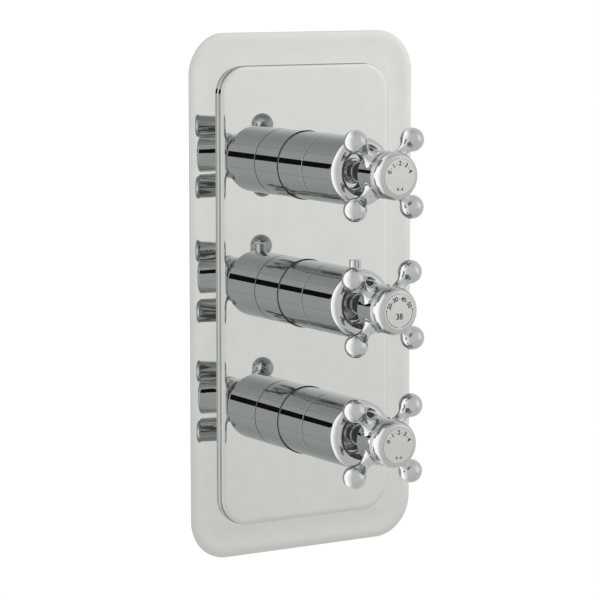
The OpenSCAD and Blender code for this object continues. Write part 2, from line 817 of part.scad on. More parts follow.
module valve_body() {
    color("peru") difference() {
        body_casting();
        at_control(0) rod(chamber_back, thermostat_front + overrun, thermostat_chamber_r);
        for (z = [top_z, bottom_z]) at_control(z) {
            rod(seat_depth, flow_front + overrun, flow_chamber_r);
            rod(pocket_back, seat_depth + overrun, pocket_r);
        }
        translate([0, -gallery_depth, bottom_z]) cylinder(h = top_z - bottom_z, r = gallery_r);
        for (side = [-1, 1]) {
            at_inlet(side) rod(inlet_socket_back, inlet_boss_end + overrun, inlet_socket_r);
            at_outlet(side) {
                rod(outlet_boss_start, outlet_socket_back + overrun, outlet_passage_r);
                rod(outlet_socket_back, outlet_boss_end + overrun, outlet_socket_r);
            }
            translate([0, -(side < 0 ? hot_feed_depth : cold_feed_depth), 0]) rotate([0, side * 90, 0])
                rod(thermostat_chamber_r / 2, inlet_socket_back + overrun, feed_r);
            at_control(side * fixing_h / 2) for (x = [-1, 1]) translate([x * fixing_w / 2, 0, 0])
                rod(-overrun, lug_t + overrun, fixing_hole_r);
        }
    }
}

module inlet_union(side) {
    color("peru") at_inlet(side) difference() {
        union() {
            rod(inlet_socket_back + slip_gap, inlet_union_start, inlet_spigot_r);
            intersection() {
                rod(inlet_union_start, inlet_union_end, inlet_union_r);
                translate([-inlet_flat, -inlet_union_r, inlet_union_start])
                    cube([2 * inlet_flat, 2 * inlet_union_r, inlet_union_end - inlet_union_start]);
            }
        }
        rod(inlet_socket_back, inlet_union_end - inlet_thread_len + overrun, inlet_bore_r);
        rod(inlet_union_end - inlet_thread_len, inlet_union_end + overrun, inlet_thread_r);
    }
}

module outlet_unions() {
    color("peru") for (side = [-1, 1]) at_outlet(side) difference() {
        union() {
            rod(outlet_socket_back + slip_gap, outlet_union_start, outlet_spigot_r);
            intersection() {
                rod(outlet_union_start, outlet_union_end, outlet_union_r);
                translate([-outlet_flat, -outlet_union_r, outlet_union_start])
                    cube([2 * outlet_flat, 2 * outlet_union_r, outlet_union_end - outlet_union_start]);
            }
        }
        rod(outlet_socket_back, outlet_union_end, outlet_bore_r);
        rod(outlet_union_end - outlet_thread_len, outlet_union_end + overrun, outlet_thread_r);
    }
}

module union_washers() {
    color("firebrick") for (side = [-1, 1]) {
        at_inlet(side) ring(inlet_boss_end, inlet_union_start, inlet_socket_r, inlet_flat);
        at_outlet(side) ring(outlet_boss_end, outlet_union_start, outlet_socket_r, outlet_flat);
    }
}

module inlet_strainers() {
    rows = floor((cage_r - 2 * strainer_hole_r) / strainer_pitch);
    color("lightgray") for (side = [-1, 1]) at_inlet(side) difference() {
        rod(strainer_back, strainer_back + strainer_t, cage_r);
        for (i = [-rows:rows], j = [-rows:rows])
            if (norm([i, j]) * strainer_pitch < cage_r - 2 * strainer_hole_r)
                translate([i * strainer_pitch, j * strainer_pitch, 0])
                    rod(strainer_back - overrun, strainer_back + strainer_t + overrun, strainer_hole_r);
    }
}

module check_valve_cages() {
    color("whitesmoke") for (side = [-1, 1]) at_inlet(side) difference() {
        rod(cage_back, cage_front, cage_r);
        rod(cage_back + cage_web_t, cage_front - cage_seat_t, cage_bore_r);
        rod(cage_back - overrun, cage_front, poppet_stem_r + run_gap);
        rod(cage_front - cage_seat_t - overrun, cage_front + overrun, cage_seat_r);
        for (k = [0:5]) rotate([0, 0, 60 * k]) translate([cage_port_circle_r, 0, 0])
            rod(cage_back - overrun, cage_back + cage_web_t + overrun, cage_port_r);
    }
}

module check_poppet(side) {
    color("slateblue") at_inlet(side) {
        rod(stem_back, poppet_back, poppet_stem_r);
        rod(poppet_back, poppet_front, poppet_r);
    }
}

module check_spring(side) {
    color("lightslategray") at_inlet(side)
        coil(cage_back + cage_web_t + run_gap, poppet_back - run_gap, check_spring_r, check_wire_r,
            check_spring_turns);
}

module cartridge_housing() {
    color("goldenrod") at_control(0) difference() {
        union() {
            rod(housing_back, thermostat_front, housing_r);
            rod(thermostat_front, housing_flange_front, housing_flange_r);
        }
        rod(housing_back - overrun, housing_back + housing_lip_t + overrun, housing_lip_r);
        rod(housing_back + housing_lip_t, bonnet_bore_back + overrun, shuttle_bore_r);
        rod(bonnet_bore_back, housing_flange_front + overrun, bonnet_r + slip_gap);
        for (a = [0, 90]) rotate([0, 0, a])
            translate([-outlet_window_w / 2, -housing_r - overrun, outlet_window_back])
                cube([outlet_window_w, 2 * (housing_r + overrun), outlet_window_front - outlet_window_back]);
        for (depth = [hot_feed_depth, cold_feed_depth]) {
            ring(depth - feed_groove_w / 2, depth + feed_groove_w / 2,
                housing_r - feed_groove_depth, housing_r + overrun);
            for (k = [0:feed_holes - 1]) translate([0, 0, depth]) rotate([0, 0, 360 * k / feed_holes])
                rotate([0, 90, 0]) rod(shuttle_bore_r - overrun, housing_r, feed_hole_r);
        }
        for (depth = o_ring_depths)
            ring(depth - o_ring_wire_r - slip_gap, depth + o_ring_wire_r + slip_gap,
                housing_r - o_ring_groove_depth - slip_gap, housing_r + overrun);
    }
}

module cartridge_o_rings() {
    color("black") for (depth = o_ring_depths) at_control(0) torus(depth, o_ring_mean_r, o_ring_wire_r);
}

module thermostat_bonnet() {
    color("goldenrod") at_control(0) difference() {
        union() {
            rod(bonnet_bore_back + slip_gap, housing_flange_front, bonnet_r);
            translate([0, 0, housing_flange_front])
                cylinder(h = web_back - housing_flange_front, r = bonnet_hex_r, $fn = 6);
            rod(web_back, tube_front, tube_r);
        }
        translate([0, 0, bonnet_bore_back - overrun])
            cylinder(h = bonnet_cavity_front - bonnet_bore_back + overrun, r = nut_r + nut_gap, $fn = nut_sides);
        rod(bonnet_cavity_front - overrun, tube_front + overrun, spindle_r + run_gap);
    }
}

module stop_ring() {
    color("tomato") at_control(0) difference() {
        union() {
            rod(stop_ring_back, stop_ring_front, stop_ring_r);
            translate([0, 0, stop_ring_back]) rotate([0, 0, 90 + stop_lug_start])
                rotate_extrude(angle = stop_lug_end - stop_lug_start)
                    translate([tube_r + 2 * slip_gap, 0])
                        square([stop_lug_r - tube_r - 2 * slip_gap, stop_ring_t]);
        }
        rod(stop_ring_back - overrun, stop_ring_front + overrun, tube_r + slip_gap);
        translate([0, stop_ring_r - 2 * mark_r, stop_ring_front - mark_r]) rod(0, mark_r + overrun, mark_r);
    }
}

module mixing_shuttle() {
    color("aliceblue") at_control(0) difference() {
        rod(shuttle_back, shuttle_front, shuttle_r);
        rod(shuttle_back - overrun, shuttle_web_back, shuttle_r - shuttle_wall);
        rod(shuttle_web_back + shuttle_web_t, shuttle_front + overrun, shuttle_r - shuttle_wall);
        rod(shuttle_back, shuttle_front, element_stem_r + run_gap);
        for (k = [0:5]) rotate([0, 0, 60 * k]) translate([shuttle_hole_circle_r, 0, 0])
            rod(shuttle_back, shuttle_front, shuttle_hole_r);
    }
}

module wax_element() {
    color("sandybrown") at_control(0) {
        rod(element_back, shuttle_web_back - element_flange_t, element_r);
        rod(shuttle_web_back - element_flange_t, shuttle_web_back, element_flange_r);
        rod(shuttle_web_back, element_stem_front, element_stem_r);
        rod(element_stem_front, push_plate_back, piston_r);
        rod(push_plate_back, push_plate_back + push_plate_t, push_plate_r);
    }
}

module return_spring() {
    color("lightslategray") at_control(0)
        coil(housing_back + housing_lip_t + run_gap, shuttle_web_back - run_gap, return_spring_r,
            return_wire_r, return_spring_turns);
}

module overload_spring() {
    color("lightslategray") at_control(0)
        coil(push_plate_back + push_plate_t + run_gap, nut_floor_back - run_gap, overload_spring_r,
            overload_wire_r, overload_spring_turns);
}

module adjusting_nut() {
    color("khaki") at_control(0) difference() {
        translate([0, 0, nut_back]) cylinder(h = nut_len, r = nut_r, $fn = nut_sides);
        rod(nut_back - overrun, nut_floor_back, nut_spring_r);
        rod(nut_floor_back - overrun, nut_front + overrun, spindle_tip_r + run_gap);
    }
}

module thermostat_spindle() {
    color("khaki") at_control(0) {
        rod(spindle_tip_back, spindle_tip_front + spindle_lead, spindle_tip_r);
        spindle_front_end(spindle_tip_front + spindle_lead);
    }
}

module safety_button() {
    color("silver") at_control(0) translate([0, 0, button_depth]) rotate([-90, 0, 0]) {
        rotate_extrude() polygon(concat(
            [[0, button_flange_bottom], [button_flange_r, button_flange_bottom],
             [button_flange_r, button_flange_top], [button_r, button_flange_top]],
            arc(button_r - button_edge_r, button_top_r - button_edge_r, button_edge_r, 0, 90),
            [[0, button_top_r]]
        ));
        translate([-catch_w / 2, 0, button_flange_bottom])
            cube([catch_w, button_depth - catch_end, button_flange_t]);
    }
}

module button_spring() {
    color("lightslategray") at_control(0) translate([0, 0, button_depth]) rotate([-90, 0, 0])
        coil(cup_r + run_gap, button_flange_bottom - run_gap, button_spring_r, button_wire_r,
            button_spring_turns);
}

faceplate();
plate_gasket();
sleeve(top_z);  // top_sleeve
sleeve(0);  // thermostat_sleeve
sleeve(bottom_z);  // bottom_sleeve
sleeve_o_rings();
sleeve_lock_nuts();
guide_bushes();
valve_body();
inlet_union(-1);  // hot_inlet_union
inlet_union(1);  // cold_inlet_union
outlet_unions();
union_washers();
inlet_strainers();
check_valve_cages();
check_poppet(-1);  // hot_check_poppet
check_poppet(1);  // cold_check_poppet
check_spring(-1);  // hot_check_spring
check_spring(1);  // cold_check_spring
headwork(top_z);  // top_headwork
headwork(bottom_z);  // bottom_headwork
seat_seals();
fixed_ceramic_discs();
moving_disc(top_z);  // top_moving_disc
moving_disc(bottom_z);  // bottom_moving_disc
flow_spindle(top_z);  // top_spindle
flow_spindle(bottom_z);  // bottom_spindle
spindle_clip(top_z);  // top_spindle_clip
spindle_clip(0);  // thermostat_spindle_clip
spindle_clip(bottom_z);  // bottom_spindle_clip
barrel(top_z);  // top_barrel
thermostat_barrel();
barrel(bottom_z);  // bottom_barrel
neck(top_z);  // top_neck
neck(0);  // thermostat_neck
neck(bottom_z);  // bottom_neck
cross_head(top_z, arm_turn);  // top_cross_head
cross_head(0, arm_turn + thermostat_head_turn);  // thermostat_cross_head
cross_head(bottom_z, arm_turn);  // bottom_cross_head
bezel(top_z);  // top_bezel
bezel(0);  // thermostat_bezel
bezel(bottom_z);  // bottom_bezel
index_disc(top_z);  // top_index_disc
index_disc(0);  // thermostat_index_disc
index_disc(bottom_z);  // bottom_index_disc
handle_screw(top_z);  // top_handle_screw
handle_screw(0);  // thermostat_handle_screw
handle_screw(bottom_z);  // bottom_handle_screw
cartridge_housing();
cartridge_o_rings();
thermostat_bonnet();
stop_ring();
mixing_shuttle();
wax_element();
return_spring();
overload_spring();
adjusting_nut();
thermostat_spindle();
safety_button();
button_spring();
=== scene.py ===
"""Looks of a concealed thermostatic shower valve with three cross-head controls.

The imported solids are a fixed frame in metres: +X is right, +Z is up and +Y goes into the
wall. Sizes here are in millimetres. Depth is the distance out from the fixing lugs' backs,
so a point at depth d lies at y = -d. A turned piece is a profile of radius and depth.
"""
import json
import logging
import math
from collections.abc import Iterable, Sequence
from dataclasses import dataclass
from enum import Enum

import bmesh
import bpy
from mathutils import Matrix, Vector

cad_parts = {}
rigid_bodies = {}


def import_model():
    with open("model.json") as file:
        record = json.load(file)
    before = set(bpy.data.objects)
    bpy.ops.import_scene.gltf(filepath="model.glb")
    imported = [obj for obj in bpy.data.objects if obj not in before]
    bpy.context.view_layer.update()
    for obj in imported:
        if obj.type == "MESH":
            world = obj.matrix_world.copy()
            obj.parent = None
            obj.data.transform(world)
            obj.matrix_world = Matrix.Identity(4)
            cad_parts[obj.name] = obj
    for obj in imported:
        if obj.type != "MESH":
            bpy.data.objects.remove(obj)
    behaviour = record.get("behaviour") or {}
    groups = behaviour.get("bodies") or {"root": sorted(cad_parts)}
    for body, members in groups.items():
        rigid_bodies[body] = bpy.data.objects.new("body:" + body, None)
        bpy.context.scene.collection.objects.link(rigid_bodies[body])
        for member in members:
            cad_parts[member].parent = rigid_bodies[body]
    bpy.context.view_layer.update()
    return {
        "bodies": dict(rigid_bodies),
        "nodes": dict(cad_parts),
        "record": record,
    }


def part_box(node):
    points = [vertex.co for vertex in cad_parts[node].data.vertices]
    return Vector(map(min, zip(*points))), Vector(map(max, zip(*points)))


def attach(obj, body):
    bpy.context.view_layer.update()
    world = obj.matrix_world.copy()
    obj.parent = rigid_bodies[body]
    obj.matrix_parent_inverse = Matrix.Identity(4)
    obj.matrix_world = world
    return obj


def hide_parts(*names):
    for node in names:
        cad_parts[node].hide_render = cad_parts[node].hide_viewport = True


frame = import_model()

MM = 0.001
TURN_STEPS = 128
CORNER_STEPS = 20
FILLET_STEPS = 6
CREASE = 32.0
SLIVER = 0.000006
OUT_OF_WALL = Matrix.Rotation(math.radians(90), 4, "X") @ Matrix.Scale(MM, 4)

Colour = tuple[float, float, float]

log = logging.getLogger("shower_valve")


class Control(Enum):
    """The three controls, by the first word of their pieces' names."""

    TOP = "top"
    THERMOSTAT = "thermostat"
    BOTTOM = "bottom"

    @property
    def body(self) -> str:
        """Name of the body that this control's handle turns with."""
        return "temperature_handle" if self is Control.THERMOSTAT else f"{self.value}_handle"

    @property
    def height(self) -> float:
        """Height of the control's axis in metres, read from its sleeve."""
        lo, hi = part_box(f"{self.value}_sleeve")
        return (lo.z + hi.z) / 2

    @property
    def extra_turn(self) -> float:
        """Degrees that the cross-head stands past its even place at rest."""
        return 2.9 if self is Control.THERMOSTAT else 0.0


class Slot(Enum):
    """Material slots of the record that the new pieces take their finish from."""

    PLATE = "chrome_plate"
    TURNED = "chrome_turned"
    INDEX = "chrome_index"
    CASTING = "cast_brass"
    BRASS = "turned_brass"
    STEEL = "stainless"
    RUBBER = "rubber_black"
    FOAM = "foam_grey"
    FIBRE = "fibre_red"
    WHITE = "plastic_white"
    BLUE = "plastic_blue"
    RED = "plastic_red"
    CERAMIC = "ceramic_white"
    COPPER = "copper_wax"


@dataclass(frozen=True)
class Corner:
    """One corner of a turned profile, in millimetres, and the radius that rounds it."""

    radius: float
    depth: float
    fillet: float = 0.0


def span(node: str) -> tuple[float, float]:
    """Finds where a solid starts and ends along the controls' axes.

    Args:
        node: Name of the solid.

    Returns:
        Its least and greatest depth in millimetres.
    """
    lo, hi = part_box(node)
    return -hi.y / MM, -lo.y / MM


def half_width(node: str) -> float:
    """Finds half a solid's width, which is the radius of a turned one.

    Args:
        node: Name of the solid.

    Returns:
        The half width in millimetres.
    """
    lo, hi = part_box(node)
    return (hi.x - lo.x) / 2 / MM


def eased(corners: Sequence[Corner], closed: bool = True) -> list[Vector]:
    """Rounds the corners of a profile with arcs.

    Args:
        corners: The profile's corners in order.
        closed: Whether the last corner joins the first.

    Returns:
        Points with the radius as x and the depth as z.
    """
    points: list[Vector] = []
    count = len(corners)
    for i, corner in enumerate(corners):
        here = Vector((corner.radius, 0, corner.depth))
        at_end = not closed and i in (0, count - 1)
        if corner.fillet <= 0 or at_end:
            points.append(here)
            continue
        before, after = corners[i - 1], corners[(i + 1) % count]
        back = Vector((before.radius, 0, before.depth)) - here
        ahead = Vector((after.radius, 0, after.depth)) - here
        half = back.angle(ahead) / 2
        reach = min(corner.fillet / math.tan(half), 0.49 * back.length, 0.49 * ahead.length)
        radius = reach * math.tan(half)
        start = back.normalized() * reach
        centre = (back.normalized() + ahead.normalized()).normalized() * (radius / math.sin(half))
        spoke = start - centre
        turn = spoke.rotation_difference(ahead.normalized() * reach - centre)
        for step in range(FILLET_STEPS + 1):
            part = turn.copy()
            part.angle = turn.angle * step / FILLET_STEPS
            points.append(here + centre + part @ spoke)
    return points


def arc(middle: Corner, across: float, along: float, start: float, end: float,
        steps: int) -> list[Vector]:
    """Draws a part of an ellipse as a stretch of a profile.

    Args:
        middle: The ellipse's centre.
        across: Half its size along the radius.
        along: Half its size along the depth.
        start: Angle in degrees of the first point, where 0 is the way out from the axis.
        end: Angle in degrees of the last point.
        steps: Steps from the first point to the last.

    Returns:
        Points with the radius as x and the depth as z.
    """
    points = []
    for step in range(steps + 1):
        a = math.radians(start + (end - start) * step / steps)
        points.append(Vector((middle.radius + across * math.cos(a), 0,
                              middle.depth + along * math.sin(a))))
    return points


def turned(points: Sequence[Vector], closed: bool = True, steps: int = TURN_STEPS) -> bmesh.types.BMesh:
    """Spins a profile a full turn about its own Z axis.

    Args:
        points: The profile's points, as eased() gives them.
        closed: Whether the last point joins the first, as on a piece with a bore.
        steps: Steps in the full turn.

    Returns:
        A closed mesh whose faces point outwards.
    """
    bm = bmesh.new()
    verts = [bm.verts.new(p) for p in points]
    pairs = list(zip(verts, verts[1:]))
    if closed:
        pairs.append((verts[-1], verts[0]))
    edges = [bm.edges.new(pair) for pair in pairs]
    bmesh.ops.spin(
        bm, geom=verts + edges, cent=(0, 0, 0), axis=(0, 0, 1), dvec=(0, 0, 0),
        angle=math.tau, steps=steps, use_merge=True, use_duplicate=False,
    )
    bmesh.ops.remove_doubles(bm, verts=bm.verts, dist=1e-4)
    bmesh.ops.recalc_face_normals(bm, faces=bm.faces)
    return bm


def joined(pieces: Iterable[bmesh.types.BMesh]) -> bmesh.types.BMesh:
    """Puts several meshes into one.

    Args:
        pieces: The meshes, which are used up.

    Returns:
        One mesh that holds them all.
    """
    whole = bmesh.new()
    for piece in pieces:
        part = bpy.data.meshes.new("part")
        piece.to_mesh(part)
        piece.free()
        whole.from_mesh(part)
        bpy.data.meshes.remove(part)
    return whole


def at_control(bm: bmesh.types.BMesh, height: float) -> bmesh.types.BMesh:
    """Moves a mesh from its own axis to a control's axis.

    Args:
        bm: A mesh in millimetres whose Z axis points out of the wall.
        height: Height of the control's axis in metres.

    Returns:
        The same mesh, now in the frame's metres.
    """
    bmesh.ops.transform(bm, matrix=Matrix.Translation((0, 0, height)) @ OUT_OF_WALL, verts=bm.verts)
    return bm


def as_object(bm: bmesh.types.BMesh, name: str, material: bpy.types.Material,
              crease: float = CREASE) -> bpy.types.Object:
    """Makes a smooth-shaded object of a finished mesh.

    Args:
        bm: The mesh, in the frame's metres. It is used up.
        name: Name of the piece.
        material: Its material.
        crease: Angle in degrees past which an edge shows as sharp.

    Returns:
        The new object, at the origin.
    """
    mesh = bpy.data.meshes.new(name)
    bm.to_mesh(mesh)
    bm.free()
    mesh.shade_smooth()
    mesh.set_sharp_from_angle(angle=math.radians(crease))
    mesh.materials.append(material)
    obj = bpy.data.objects.new(name, mesh)
    bpy.context.scene.collection.objects.link(obj)
    weighted = obj.modifiers.new("weighted_normals", "WEIGHTED_NORMAL")
    weighted.keep_sharp = True
    weighted.weight = 100
    return obj


def sharpen(obj: bpy.types.Object, crease: float = CREASE) -> None:
    """Marks a piece's sharp edges anew after it was cut.

    Args:
        obj: The piece.
        crease: Angle in degrees past which an edge shows as sharp.
    """
    obj.data.set_sharp_from_angle(angle=math.radians(crease))


def keep(obj: bpy.types.Object, modifier: bpy.types.Modifier) -> None:
    """Keeps one modifier's result as the object's own mesh, before its other modifiers.

    Args:
        obj: The object to change.
        modifier: The modifier, which is used up.
    """
    others = [m for m in obj.modifiers if m != modifier]
    for other in others:
        other.show_viewport = False
    graph = bpy.context.evaluated_depsgraph_get()
    result = bpy.data.meshes.new_from_object(obj.evaluated_get(graph))
    obj.modifiers.remove(modifier)
    for other in others:
        other.show_viewport = True
    obj.data = result


def cut(obj: bpy.types.Object, tool: bmesh.types.BMesh, operation: str = "DIFFERENCE") -> None:
    """Cuts or joins a solid with another and keeps the result as the object's own mesh.

    Args:
        obj: The object to change.
        tool: The other solid, in the frame's metres. It is used up.
        operation: Kind of Boolean.
    """
    mesh = bpy.data.meshes.new("tool")
    tool.to_mesh(mesh)
    tool.free()
    helper = bpy.data.objects.new("tool", mesh)
    bpy.context.scene.collection.objects.link(helper)
    modifier = obj.modifiers.new("boolean", "BOOLEAN")
    modifier.operation = operation
    modifier.solver = "EXACT"
    modifier.object = helper
    keep(obj, modifier)
    bm = bmesh.new()
    bm.from_mesh(obj.data)
    bmesh.ops.remove_doubles(bm, verts=bm.verts, dist=SLIVER)
    bmesh.ops.dissolve_degenerate(bm, dist=SLIVER, edges=bm.edges)
    bm.to_mesh(obj.data)
    bm.free()
    bpy.data.objects.remove(helper)
    bpy.data.meshes.remove(mesh)


def fit(obj: bpy.types.Object, body: str, slot: Slot, *nodes: str) -> bpy.types.Object:
    """Gives a piece its body, and lets it stand for solids by hiding them.

    Args:
        obj: The finished piece.
        body: Name of the body that it moves with.
        slot: The record's material slot. Not used.
        *nodes: Solids that it stands for.

    Returns:
        The same piece.
    """
    if nodes:
        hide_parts(*nodes)
    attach(obj, body)
    log.info("%s: %d faces, rides on %s", obj.name, len(obj.data.polygons), body)
    return obj


class Graph:
    """Adds nodes to one node tree and joins them."""

    def __init__(self, tree: bpy.types.NodeTree) -> None:
        """Keeps the tree that the nodes go into."""
        self.tree = tree

    def add(self, kind: str, inputs: dict | None = None, **settings: object) -> bpy.types.Node:
        """Adds a node.

        Args:
            kind: The node's type name.
            inputs: Constants or sockets for its inputs, by name or place.
            **settings: The node's own properties.

        Returns:
            The new node.
        """
        node = self.tree.nodes.new(kind)
        for key, value in settings.items():
            setattr(node, key, value)
        for key, value in (inputs or {}).items():
            if isinstance(value, bpy.types.NodeSocket):
                self.tree.links.new(value, node.inputs[key])
            else:
                node.inputs[key].default_value = value
        return node

    def math(self, operation: str, *values: object) -> bpy.types.NodeSocket:
        """Adds a Math node.

        Args:
            operation: What it works out.
            *values: Its constants or sockets, in order.

        Returns:
            The result's socket.
        """
        node = self.add("ShaderNodeMath", dict(enumerate(values)), operation=operation)
        return node.outputs[0]

    def remap(self, value: object, low: object, high: object, to_low: object = 0.0,
              to_high: object = 1.0, smooth: bool = True) -> bpy.types.NodeSocket:
        """Adds a clamped Map Range node.

        Args:
            value: The socket to map.
            low: Start of the range that it comes from.
            high: End of the range that it comes from.
            to_low: Result at the start.
            to_high: Result at the end.
            smooth: Whether the change eases in and out.

        Returns:
            The result's socket.
        """
        node = self.add(
            "ShaderNodeMapRange",
            {"Value": value, "From Min": low, "From Max": high, "To Min": to_low, "To Max": to_high},
            interpolation_type="SMOOTHSTEP" if smooth else "LINEAR", clamp=True,
        )
        return node.outputs["Result"]

    def blend(self, factor: object, first: object, second: object) -> bpy.types.NodeSocket:
        """Adds a Mix node for colours.

        Args:
            factor: Share of the second colour.
            first: First colour.
            second: Second colour.

        Returns:
            The result's socket.
        """
        node = self.add("ShaderNodeMix", data_type="RGBA", blend_type="MIX")
        for socket, value in (("Factor_Float", factor), ("A_Color", first), ("B_Color", second)):
            target = next(s for s in node.inputs if s.identifier == socket)
            if isinstance(value, bpy.types.NodeSocket):
                self.tree.links.new(value, target)
            else:
                target.default_value = value
        return next(s for s in node.outputs if s.identifier == "Result_Color")

    def noise(self, vector: object, scale: object, detail: float, roughness: float = 0.5,
              distortion: float = 0.0) -> bpy.types.NodeSocket:
        """Adds a Noise Texture.

        Args:
            vector: Where it is read.
            scale: Waves in a metre.
            detail: Octaves.
            roughness: Strength of the finer octaves.
            distortion: How far it is pulled out of shape.

        Returns:
            The noise from 0 to 1.
        """
        node = self.add(
            "ShaderNodeTexNoise",
            {"Vector": vector, "Scale": scale, "Detail": detail, "Roughness": roughness,
             "Distortion": distortion},
        )
        return node.outputs[0]


class Effect(Enum):
    """Shader node groups that the finishes share."""

    POLISH = "Polish"
    FEED_MARKS = "Feed marks"
    CAST_GRAIN = "Cast grain"
    MOULD_GRAIN = "Mould grain"


class EffectShelf:
    """Builds each shared node group once."""

    def __init__(self) -> None:
        """Builds all the groups."""
        self.groups: dict[Effect, bpy.types.NodeTree] = {
            Effect.POLISH: self.polish(),
            Effect.FEED_MARKS: self.feed_marks(),
            Effect.CAST_GRAIN: self.cast_grain(),
            Effect.MOULD_GRAIN: self.mould_grain(),
        }

    @staticmethod
    def start(effect: Effect, inputs: dict[str, float | None],
              outputs: Iterable[str]) -> tuple[Graph, bpy.types.Node, bpy.types.Node]:
        """Starts a node group.

        Args:
            effect: Which group it is.
            inputs: Its inputs and their first values, where None is a vector.
            outputs: Its number outputs.

        Returns:
            The group's graph, its input node and its output node.
        """
        tree = bpy.data.node_groups.new(effect.value, "ShaderNodeTree")
        for name, value in inputs.items():
            kind = "NodeSocketVector" if value is None else "NodeSocketFloat"
            socket = tree.interface.new_socket(name, in_out="INPUT", socket_type=kind)
            if value is not None:
                socket.default_value = value
        for name in outputs:
            tree.interface.new_socket(name, in_out="OUTPUT", socket_type="NodeSocketFloat")
        graph = Graph(tree)
        return graph, graph.add("NodeGroupInput"), graph.add("NodeGroupOutput")

    def polish(self) -> bpy.types.NodeTree:
        """Builds buffed metal: slow waves, faint smears and fine hairlines.

        Returns:
            The group.
        """
        graph, given, result = self.start(
            Effect.POLISH,
            {"Vector": None, "Wave scale": 20.0, "Smear scale": 60.0, "Smear": 0.5, "Hairlines": 0.1},
            ("Height", "Smears"),
        )
        place = given.outputs["Vector"]
        wave = graph.noise(place, given.outputs["Wave scale"], detail=1.0)
        smear = graph.noise(place, given.outputs["Smear scale"], detail=5.0, roughness=0.62,
                            distortion=0.8)
        stretched = graph.add("ShaderNodeMapping", {"Vector": place, "Scale": (5200.0, 260.0, 900.0)})
        hairline = graph.noise(stretched.outputs[0], 1.0, detail=3.0, roughness=0.7)
        fine = graph.math("MULTIPLY", hairline, given.outputs["Hairlines"])
        graph.tree.links.new(graph.math("ADD", wave, fine), result.inputs["Height"])
        mask = graph.remap(smear, 0.35, 0.75)
        graph.tree.links.new(graph.math("MULTIPLY", mask, given.outputs["Smear"]), result.inputs["Smears"])
        return graph.tree

    def feed_marks(self) -> bpy.types.NodeTree:
        """Builds the fine rings that a lathe leaves, about the nearest control's axis.

        Returns:
            The group.
        """
        graph, given, result = self.start(
            Effect.FEED_MARKS, {"Vector": None, "Spacing": 0.075, "Pitch": 0.0003}, ("Height", "Shade")
        )
        parts = graph.add("ShaderNodeSeparateXYZ", {"Vector": given.outputs["Vector"]}).outputs
        shifted = graph.math("DIVIDE", parts["Z"], given.outputs["Spacing"])
        nearest = graph.math("MULTIPLY", graph.math("ROUND", shifted), given.outputs["Spacing"])
        rise = graph.math("SUBTRACT", parts["Z"], nearest)
        across = graph.math("POWER", parts["X"], 2.0)
        radius = graph.math("SQRT", graph.math("ADD", across, graph.math("POWER", rise, 2.0)))
        along = graph.math("ADD", radius, parts["Y"])
        place = graph.math("DIVIDE", along, given.outputs["Pitch"])
        ring = graph.add("ShaderNodeTexNoise", {"W": place, "Scale": 1.0, "Detail": 2.0},
                         noise_dimensions="1D").outputs[0]
        graph.tree.links.new(ring, result.inputs["Height"])
        patch = graph.noise(given.outputs["Vector"], 90.0, detail=4.0, roughness=0.6)
        graph.tree.links.new(graph.remap(patch, 0.3, 0.7), result.inputs["Shade"])
        return graph.tree

    def cast_grain(self) -> bpy.types.NodeTree:
        """Builds the skin of a sand casting: grains, pits and slow lumps.

        Returns:
            The group.
        """
        graph, given, result = self.start(
            Effect.CAST_GRAIN, {"Vector": None, "Grain scale": 1600.0}, ("Height", "Pits", "Stain")
        )
        place = given.outputs["Vector"]
        grain = graph.noise(place, given.outputs["Grain scale"], detail=5.0, roughness=0.65)
        lumps = graph.noise(place, 170.0, detail=3.0)
        cells = graph.add("ShaderNodeTexVoronoi", {"Vector": place, "Scale": 900.0})
        pit = graph.remap(cells.outputs["Distance"], 0.05, 0.3)
        height = graph.math("MULTIPLY_ADD", lumps, 1.4, graph.math("MULTIPLY", grain, pit))
        graph.tree.links.new(height, result.inputs["Height"])
        graph.tree.links.new(graph.math("SUBTRACT", 1.0, pit), result.inputs["Pits"])
        stain = graph.noise(place, 45.0, detail=6.0, roughness=0.62)
        graph.tree.links.new(graph.remap(stain, 0.38, 0.68), result.inputs["Stain"])
        return graph.tree

    def mould_grain(self) -> bpy.types.NodeTree:
        """Builds the faint skin of a moulded or pressed piece.

        Returns:
            The group.
        """
        graph, given, result = self.start(
            Effect.MOULD_GRAIN, {"Vector": None, "Grain scale": 2500.0}, ("Height", "Shade")
        )
        place = given.outputs["Vector"]
        grain = graph.noise(place, given.outputs["Grain scale"], detail=4.0, roughness=0.6)
        graph.tree.links.new(grain, result.inputs["Height"])
        shade = graph.noise(place, 120.0, detail=3.0)
        graph.tree.links.new(graph.remap(shade, 0.3, 0.7), result.inputs["Shade"])
        return graph.tree

    def place(self, graph: Graph, effect: Effect, **inputs: object) -> bpy.types.Node:
        """Puts a group into a tree.

        Args:
            graph: The tree's graph.
            effect: Which group.
            **inputs: Its inputs, with _ for a space in their names.

        Returns:
            The group's node.
        """
        node = graph.add("ShaderNodeGroup", node_tree=self.groups[effect])
        for key, value in inputs.items():
            socket = node.inputs[key.replace("_", " ")]
            if isinstance(value, bpy.types.NodeSocket):
                graph.tree.links.new(value, socket)
            else:
                socket.default_value = value
        return node


def begin(name: str) -> tuple[bpy.types.Material, Graph, bpy.types.Node, bpy.types.NodeSocket]:
    """Starts a material.

    Args:
        name: The finish's name.

    Returns:
        The material, its graph, its surface shader and the object coordinates.
    """
    material = bpy.data.materials.new(name)
    material.use_nodes = True
    graph = Graph(material.node_tree)
    shader = next(n for n in material.node_tree.nodes if n.type == "BSDF_PRINCIPLED")
    coordinates = graph.add("ShaderNodeTexCoord").outputs["Object"]
    return material, graph, shader, coordinates


